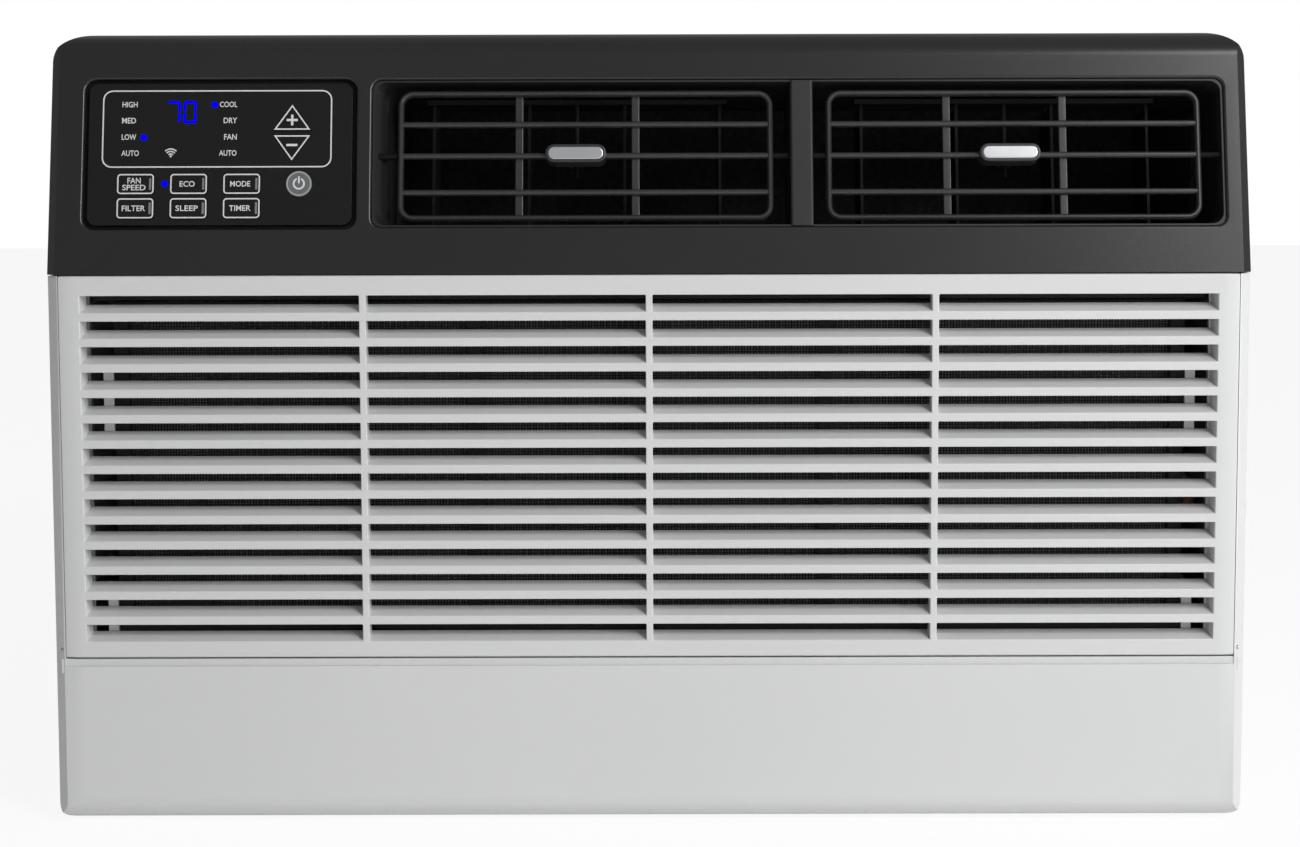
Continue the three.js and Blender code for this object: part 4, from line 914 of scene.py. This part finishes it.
outlet = {"lip": 0.0009, "flareDeep": 0.012, "flareLeft": 0.0078, "flareRight": 0.0036, "flareTall": 0.0027,
          "below": 0.0016, "round": 0.0053, "mouthRound": 0.0065, "post": 0.0128, "postRound": 0.0014,
          "postBelow": 0.0006}
louver = {"wire": 0.0035, "ringDeep": 0.006, "ringRound": 0.0068, "across": (0.248, 0.501, 0.795),
          "upright": (0.3206, 0.636), "acrossDeep": (0.0052, 0.0006), "uprightDeep": (0.0080, 0.0036),
          "uprightWide": 0.0044, "pin": 0.0018, "pinDeep": 0.004}
tab = {"back": -0.011, "channel": (-0.0083, -0.0022), "channelHalf": 0.00195, "prong": (0.0021, 0.0041),
       "prongHalf": 0.0022, "rim": 0.0016, "proud": 0.0004}


def makeOutletHousing(look):
    low, high = faceBox("outlet_housing")
    top = -look["below"]
    piece = plate("outletHousing", low, Vector((high.x, high.y, top)), look["round"])
    middleX, middleY = (low.x + high.x) / 2, (low.y + high.y) / 2
    left, right, tall, deep = look["flareLeft"], look["flareRight"], look["flareTall"], look["flareDeep"]
    neckLow = Vector((low.x + left, low.y + tall, low.z - 0.01))
    neckHigh = Vector((high.x - right, high.y - tall, 0.0005 - deep))
    carve(piece, plate("neck", neckLow, neckHigh, look["mouthRound"] - 0.0005, 8))
    lip = look["lip"]
    flareLow = Vector((low.x + lip, low.y + lip, -deep))
    flareHigh = Vector((high.x - lip, high.y - lip, top + 0.0001))
    flare = plate("flare", flareLow, flareHigh, look["mouthRound"], 8)
    moves = ((lambda v: v.co.x < middleX, (left - lip, 0, 0)),
             (lambda v: v.co.x > middleX, (lip - right, 0, 0)),
             (lambda v: v.co.y < middleY, (0, tall - lip, 0)),
             (lambda v: v.co.y > middleY, (0, lip - tall, 0)))
    for inPart, move in moves:   # the back of the mouth is drawn in
        shift(flare, lambda v: v.co.z < -deep / 2 and inPart(v), move)
    carve(piece, flare)
    half = look["post"] / 2
    postLow = (postMiddle() - half, low.y + 0.0003, low.z)
    post = block("post", postLow, (postMiddle() + half, high.y - 0.0003, -look["postBelow"]))
    roundEdges(post, lambda e: along(e, 1) and middle(e).z > -0.002, look["postRound"], 5)
    merge(piece, [post])
    soften(piece, 0.0004)
    return hand(ontoFace(piece), "chassis", mats["outletPlastic"], "dark_plastic", "outlet_housing")


def postMiddle():   # the post stands where both deflectors' inner pins end
    return (faceBox("louver_left")[1].x + faceBox("louver_right")[0].x) / 2


def gridBox(name):   # the deflector's ring without its pins
    low, high = faceBox("louver_" + name)
    middleTall = (low.y + high.y) / 2
    toFace = faceMatrix.inverted()
    spots = [toFace @ v.co for v in frame["nodes"]["louver_" + name].data.vertices]
    rows = [p.x for p in spots if abs(p.y - middleTall) > 0.02]
    return Vector((min(rows), low.y, low.z)), Vector((max(rows), high.y, high.z))


def wireRing(name, low, high, radius, wire):
    half = Vector((wire / 2, wire / 2, 0))
    outline(name, low + half, high - half, (low.z + high.z) / 2, radius)
    bpy.ops.mesh.select_all(action="SELECT")
    bpy.ops.mesh.delete(type="ONLY_FACE")
    done()
    bpy.ops.object.convert(target="CURVE")
    piece = bpy.context.object
    piece.data.bevel_depth = wire / 2
    piece.data.bevel_resolution = 5
    bpy.ops.object.convert(target="MESH")
    return fit(bpy.context.object, low, high)


def wireBar(low, high):   # a round bar across
    return fit(rod("wire", 20, 0.001, 0.01, turn=(0, math.pi / 2, 0)), low, high)


def makeLouver(name, look):
    body = "deflector_" + name
    low, high = gridBox(name)
    face, half = high.z, look["wire"] / 2
    ringLow = Vector((low.x, low.y, face - look["ringDeep"]))
    piece = wireRing("louverGrid_" + name, ringLow, high, look["ringRound"], look["wire"])
    inner, outer = low + Vector((half, half, 0)), high - Vector((half, half, 0))   # the ring's middle line
    bars = []
    back, ahead = look["acrossDeep"]
    for share in look["across"]:
        y = outer.y - share * (outer.y - inner.y)
        bars.append(wireBar((inner.x, y - half, face - back), (outer.x, y + half, face - ahead)))
    back, ahead = look["uprightDeep"]
    thick = look["uprightWide"] / 2
    for share in look["upright"]:
        x = inner.x + share * (outer.x - inner.x)
        bars.append(block("upright", (x - thick, inner.y, face - back), (x + thick, outer.y, face - ahead)))
        roundEdges(bars[-1], lambda e: along(e, 1), 0.0005, 3)
    merge(piece, bars)
    soften(piece, 0, angle=40)
    hand(ontoFace(piece), body, mats["wireGrey"], "wire_grey", "louver_" + name)
    fullLow, fullHigh = faceBox("louver_" + name)
    y, z, pin = (low.y + high.y) / 2, face - look["pinDeep"], look["pin"]
    ends = ((fullLow.x, low.x + 0.001), (high.x - 0.001, fullHigh.x))
    pins = [wireBar((x0, y - pin, z - pin), (x1, y + pin, z + pin)) for x0, x1 in ends]
    pins = soften(merge(pins[0], pins[1:]), 0.0004)
    pins.name = "louverPins_" + name
    hand(ontoFace(pins), body, mats["vaneBlack"], "vane_black")


def makeTab(name, look):
    low, high = faceBox("louver_tab_" + name, -0.002)
    backLow = faceBox("louver_tab_" + name)[0]
    x, y = (low.x + high.x) / 2, (low.y + high.y) / 2
    shellBack = look["back"]
    piece = plate("tabBody_" + name, (low.x, low.y, shellBack), high, (high.y - low.y) * 0.49, 10)
    roundEdges(piece, lambda e: middle(e).z > high.z - 1e-5, 0.0008, 4)
    channelLow, channelHigh = look["channel"]   # the grid's middle bar runs through here
    half = look["channelHalf"]
    channel = (low.x - 0.01, y - half, channelLow), (high.x + 0.01, y + half, channelHigh)
    carve(piece, block("channel", *channel))
    prongs = []
    half = look["prongHalf"]
    for sign in (-1, 1):
        near, far = sorted(x + sign * reach for reach in look["prong"])
        prongs.append(block("prong", (near, y - half, backLow.z), (far, y + half, shellBack + 0.0005)))
        roundEdges(prongs[-1], lambda e: along(e, 2), 0.0005, 3)
    merge(piece, prongs)
    soften(piece, 0, angle=40)
    inset = Vector((look["rim"], look["rim"], 0))
    topLow = Vector((low.x, low.y, high.z - 0.001)) + inset
    topHigh = Vector((high.x, high.y, high.z + look["proud"])) - inset
    insert = plate("tabInsert_" + name, topLow, topHigh, (topHigh.y - topLow.y) * 0.49, 10)
    roundEdges(insert, lambda e: middle(e).z > topHigh.z - 1e-5, 0.0007, 4)
    soften(insert, 0, angle=40)
    hand(ontoFace(piece), "tab_" + name, mats["wireGrey"], "wire_grey", "louver_tab_" + name)
    hand(ontoFace(insert), "tab_" + name, mats["tabSilver"], "tab_silver")


makeOutletHousing(outlet)
for sideName in ("left", "right"):
    makeLouver(sideName, louver)
    makeTab(sideName, tab)
print("outlets made")


# nodes kept from the model, with their edges eased and their own finish

def ease(node, material, width):
    piece = frame["nodes"][node]
    step = piece.modifiers.new("joinFacets", "WELD")
    step.merge_threshold = 0.00001
    if width:
        step = piece.modifiers.new("easeEdges", "BEVEL")
        step.width = width
        step.segments = 2
        step.limit_method = "ANGLE"
        step.angle_limit = math.radians(30)
    piece.data.materials.clear()
    piece.data.materials.append(material)


kept = {
    "casePaint": ["outer_case", "rear_grille"],
    "zincSheet": ["base_pan", "bulkhead", "run_capacitor"],
    "coilFins": ["evaporator_coil", "condenser_coil"],
    "beadFoam": ["blower_housing"],
    "fanGrey": ["blower_wheel", "condenser_fan"],
    "blackPaint": ["fan_motor", "fan_shroud", "compressor", "suction_accumulator"],
    "steel": ["motor_shaft", "grille_hinge_pin_left", "grille_hinge_pin_right"],
    "rubber": [f"compressor_grommet_{i}" for i in (1, 2, 3)],
    "copper": ["discharge_tube", "suction_tube", "filter_drier", "capillary_tube"],
    "whitePlastic": [f"filter_clip_{level}_{end}" for level in ("upper", "lower")
                     for end in ("left", "right")],
    "filterBlack": ["filter_frame"],
    "wovenScreen": ["filter_mesh"],
    "panelFilm": ["display_module"],
    "circuitBoard": ["control_board"],
    "vaneBlack": [f"vane_link_{end}" for end in ("left", "right")]
    + [f"vane_{end}_{i}" for end in ("left", "right") for i in (1, 2, 3, 4)],
}
for finishName, nodes in kept.items():
    eased = 0 if finishName in ("wovenScreen", "copper", "circuitBoard") else 0.0004
    for node in nodes:
        ease(node, mats[finishName], eased)
print("kept nodes finished")


# screws and slot hoods on the case

caseLook = {"screw": 0.0042, "screwsUp": (0.06, 0.22, 0.38), "screwsAcross": (-0.28, -0.1, 0.1, 0.28),
            "screwsIn": (0.04, 0.02), "hoodLong": 0.086, "hoodWide": 0.0085, "hoodProud": 0.0032,
            "hoodRound": 0.0026, "slots": 9, "pitch": 0.028, "slotAt": 0.10905, "rows": (0.2034, 0.3238),
            "columns": (-0.14, 0, 0.14)}
caseLow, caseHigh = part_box("outer_case")


def screwHead(spot, normal, radius):   # a hexagon head on its washer
    head = rod("caseScrews", 6, radius * 0.78, radius * 0.7)
    roundEdges(head, lambda e: middle(e).z > 0, radius * 0.12, 2)
    washer = rod("washer", 28, radius, radius * 0.22, (0, 0, -radius * 0.3))
    roundEdges(washer, lambda e: middle(e).z > -radius * 0.25, radius * 0.08, 2)
    merge(head, [washer])
    head.rotation_euler = normal.to_track_quat("Z", "Y").to_euler()
    head.location = Vector(spot) + normal * radius * 0.35
    return soften(settle(head), 0)


def makeScrews(look):
    fromFront, fromBack = look["screwsIn"]
    spots = [((sign * caseHigh.x, y, z), Vector((sign, 0, 0))) for sign in (-1, 1) for z in look["screwsUp"]
             for y in (caseLow.y + fromFront, caseHigh.y - fromBack)]
    spots += [((x, caseHigh.y - fromBack, caseHigh.z), Vector((0, 0, 1))) for x in look["screwsAcross"]]
    heads = [screwHead(spot, normal, look["screw"]) for spot, normal in spots]
    return hand(merge(heads[0], heads[1:]), "chassis", mats["steel"], "steel")


def hoodRow(look):   # pressed hoods over one row of slots, lying in x and y with the slots along x
    long, proud = look["hoodLong"] / 2, look["hoodProud"]
    first = look["slotAt"] - look["pitch"] * (look["slots"] - 1) / 2
    near = first - 0.0005
    hood = block("caseHoods", (-long, near, -0.0004), (long, near + look["hoodWide"], proud))
    radius = look["hoodRound"]
    roundEdges(hood, lambda e: middle(e).z > proud - 1e-5 and middle(e).y > near + 1e-4, radius, 5)
    repeat(hood, look["slots"], (0, look["pitch"], 0))
    return hood


def makeHoods(look):
    places = [((x, 0, caseHigh.z), 0) for x in look["columns"]]
    places += [((sign * caseHigh.x, 0, z), sign * math.pi / 2) for sign in (-1, 1) for z in look["rows"]]
    rows = []
    for spot, turn in places:
        row = hoodRow(look)
        row.rotation_euler = (0, turn, 0)
        row.location = spot
        rows.append(settle(row))
    hoods = merge(rows[0], rows[1:])
    return hand(soften(hoods, 0.0003), "chassis", mats["casePaint"], "case_paint")


makeScrews(caseLook)
makeHoods(caseLook)
print("case detail made")


# floor, camera and lights

studio = {"camera": (0.0007, -1.73236, 0.35456), "down": 5.2, "roll": 0.14, "lens": 70.2, "world": 0.28,
          "seen": 1.0, "floor": (0.88, 0.88, 0.88), "floorGlow": 0.16, "floorWhite": 0.88}
lights = {
    "key": {"at": (1.34, -2.1, 1.58), "to": (0.1, -0.3, 0.2), "wide": 0.8, "tall": 1.4, "power": 44},
    "side": {"at": (2.1, -1.35, 0.35), "to": (0, -0.3, 0.22), "wide": 0.7, "tall": 0.7, "power": 15},
}


def makeStudio(look):
    scene = bpy.context.scene
    bpy.ops.object.camera_add(location=look["camera"])
    camera = bpy.context.object
    camera.rotation_euler = (math.radians(90 - look["down"]), math.radians(look["roll"]), 0)
    camera.data.lens = look["lens"]
    camera.data.sensor_width = 36
    camera.data.clip_end = 60
    scene.camera = camera
    clear()
    bpy.ops.mesh.primitive_plane_add(size=30, location=(0, 0, 0))
    floor = named("floor")
    material, start, shader, place = newMaterial("paleFloor")
    cloud = noise(start, place, 1.5, 2)
    dimmer = tuple(tone * 0.98 for tone in look["floor"])
    feed(start, shader, color=tint(start, cloud, look["floor"], dimmer), rough=0.8, glow=(1, 1, 1, 1))
    shader.inputs["Emission Strength"].default_value = look["floorGlow"]
    white = start.add("ShaderNodeEmission")   # seen nearly white, while it lights the unit only softly
    seen = start.add("ShaderNodeLightPath", output="Is Camera Ray")
    mixed = start.add("ShaderNodeMixShader", {}, {0: seen * look["floorWhite"], 2: white})
    start.tree.links.new(shader.outputs[0], mixed.socket.node.inputs[1])
    start.tree.links.new(mixed.socket, start.tree.nodes["Material Output"].inputs["Surface"])
    floor.data.materials.append(material)
    world = bpy.data.worlds.new("studio")
    scene.world = world
    world.use_nodes = True
    sky = Wire(world.node_tree)
    seen = sky.add("ShaderNodeLightPath", output="Is Camera Ray")
    strength = seen * (look["seen"] - look["world"]) + look["world"]
    background = world.node_tree.nodes["Background"]
    background.inputs["Color"].default_value = (1, 1, 1, 1)
    world.node_tree.links.new(strength.socket, background.inputs["Strength"])
    for name, lamp in lights.items():
        bpy.ops.object.light_add(type="AREA", location=lamp["at"])
        light = bpy.context.object
        light.name = name
        light.data.shape = "RECTANGLE"
        light.data.size = lamp["wide"]
        light.data.size_y = lamp["tall"]
        light.data.energy = lamp["power"]
        aim = Vector(lamp["to"]) - Vector(lamp["at"])
        light.rotation_euler = aim.to_track_quat("-Z", "Y").to_euler()
    scene.view_settings.view_transform = "Standard"
    print("studio made")


makeStudio(studio)
